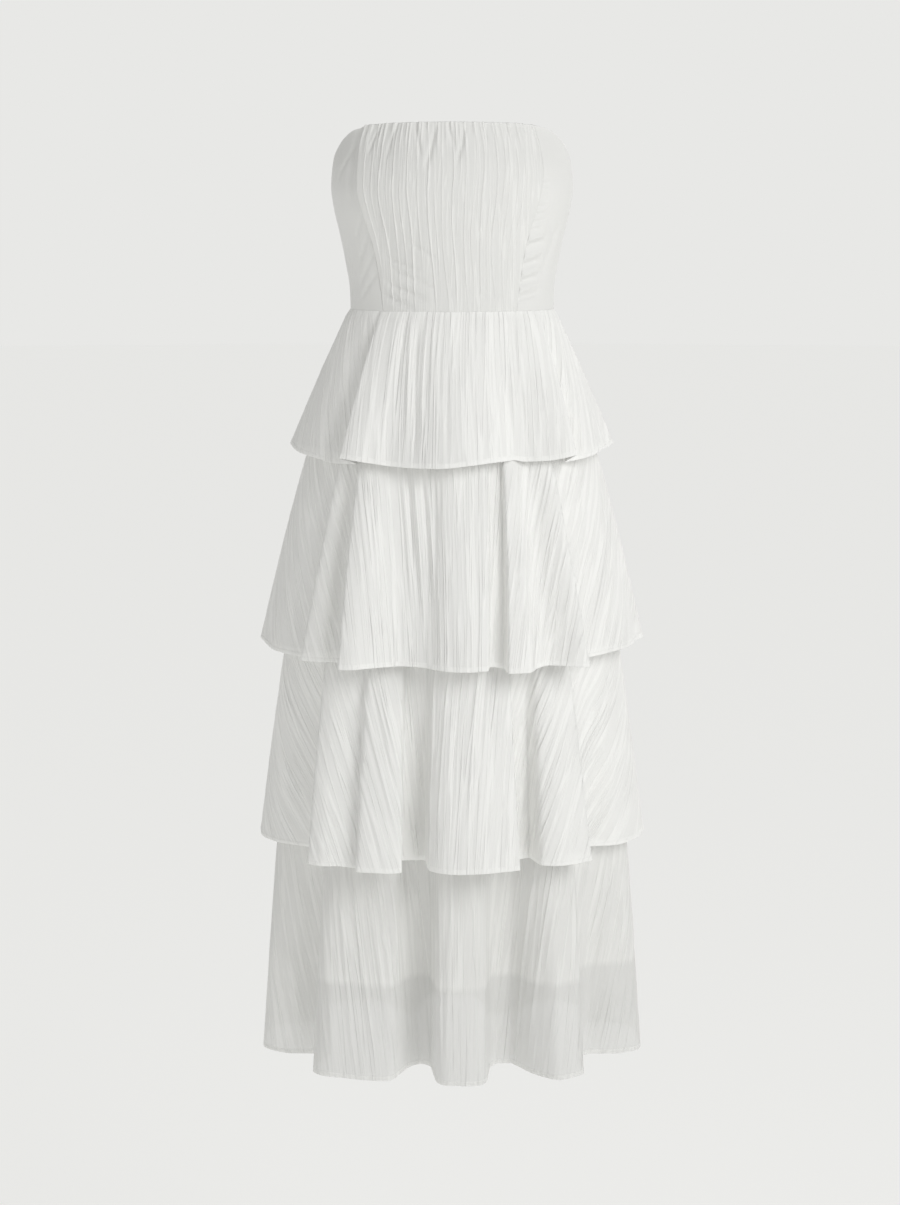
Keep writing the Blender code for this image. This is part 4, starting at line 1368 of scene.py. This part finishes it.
class DRESS_OT_lining(bpy.types.Operator):
    """Make the lining that carries the flounces"""

    bl_idname = "dress.lining"
    bl_label = "Lining"

    def execute(self, context):
        # Voile lining: fine plain weave, smooth and slightly lustrous, its threads drawn coarser
        # than their real 0.15 mm; its glow stands for the light that comes through the gauze
        colour = context.scene.dress_colours.lining
        finish = cloth_material("lining_voile", colour, (), 0.0005, 0.60, 0.05, glow=0.15)
        tier = TIERS["tier_4"]
        make_lining_panel("lining_front", tier.front_folds, -90, 90, Grid(380, 34), finish)
        make_lining_panel("lining_back_left", tier.back_folds, 90, 180, Grid(180, 34), finish)
        make_lining_panel("lining_back_right", tier.back_folds, 180, 270, Grid(180, 34), finish)
        return {"FINISHED"}


class DRESS_OT_zip(bpy.types.Operator):
    """Finish the zip at centre back"""

    bl_idname = "dress.zip"
    bl_label = "Zip"

    def execute(self, context):
        colour = context.scene.dress_colours.zip
        # Enamel: zinc die casting, sprayed and stoved, so it is glossy over a faint orange peel
        enamel = hard_material("zip_enamel", colour, 0.0009, 0.00002, 0.30, 0.3)
        # Tape: flat woven polyester, matt; its twill is drawn a little coarser than it is
        tape = hard_material("zip_tape_polyester", colour, 0.0007, 0.00010, 0.75)
        # Teeth: moulded polyamide, softly shiny
        teeth = hard_material("zip_teeth_polyamide", colour, 0.0005, 0.00001, 0.42)
        for name, finish in (("zip_slider", enamel), ("zip_pull", enamel), ("zip_tape", tape)):
            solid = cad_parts[name]
            solid.data.materials.clear()
            solid.data.materials.append(finish)
        make_zip_teeth(teeth)
        return {"FINISHED"}


class DRESS_OT_stage(bpy.types.Operator):
    """Set up the floor, the light and the camera"""

    bl_idname = "dress.stage"
    bl_label = "Stage"

    def execute(self, context):
        scene = context.scene
        scene.view_settings.view_transform = "Standard"
        studio_floor(scene.dress_stage)
        studio_walls(scene)
        studio_lights(scene.dress_stage)
        studio_camera(scene)
        return {"FINISHED"}


class DRESS_PT_sidebar(bpy.types.Panel):
    """Lists the settings and the pieces of the dress"""

    bl_idname = "DRESS_PT_sidebar"
    bl_label = "Tiered Maxi Dress"
    bl_space_type = "VIEW_3D"
    bl_region_type = "UI"
    bl_category = "Dress"

    def draw(self, context):
        scene = context.scene
        for settings in (scene.dress_sizes, scene.dress_colours, scene.dress_stage):
            box = self.layout.box()
            for name in settings.__annotations__:
                box.prop(settings, name)
        for operator in OPERATORS:
            self.layout.operator(operator.bl_idname)


SETTINGS = {"dress_sizes": DressSizes, "dress_colours": DressColours, "dress_stage": DressStage}
OPERATORS = (DRESS_OT_bodice, DRESS_OT_flounces, DRESS_OT_lining, DRESS_OT_zip, DRESS_OT_stage)
CLASSES = (*SETTINGS.values(), *OPERATORS, DRESS_PT_sidebar)


def register():
    for kind in CLASSES:
        bpy.utils.register_class(kind)
    for name, kind in SETTINGS.items():
        setattr(bpy.types.Scene, name, PointerProperty(type=kind))


def unregister():
    for name in SETTINGS:
        delattr(bpy.types.Scene, name)
    for kind in reversed(CLASSES):
        bpy.utils.unregister_class(kind)


def main():
    register()
    bpy.ops.dress.bodice()
    bpy.ops.dress.flounces()
    bpy.ops.dress.lining()
    bpy.ops.dress.zip()
    bpy.ops.dress.stage()


if __name__ == "__main__":
    main()
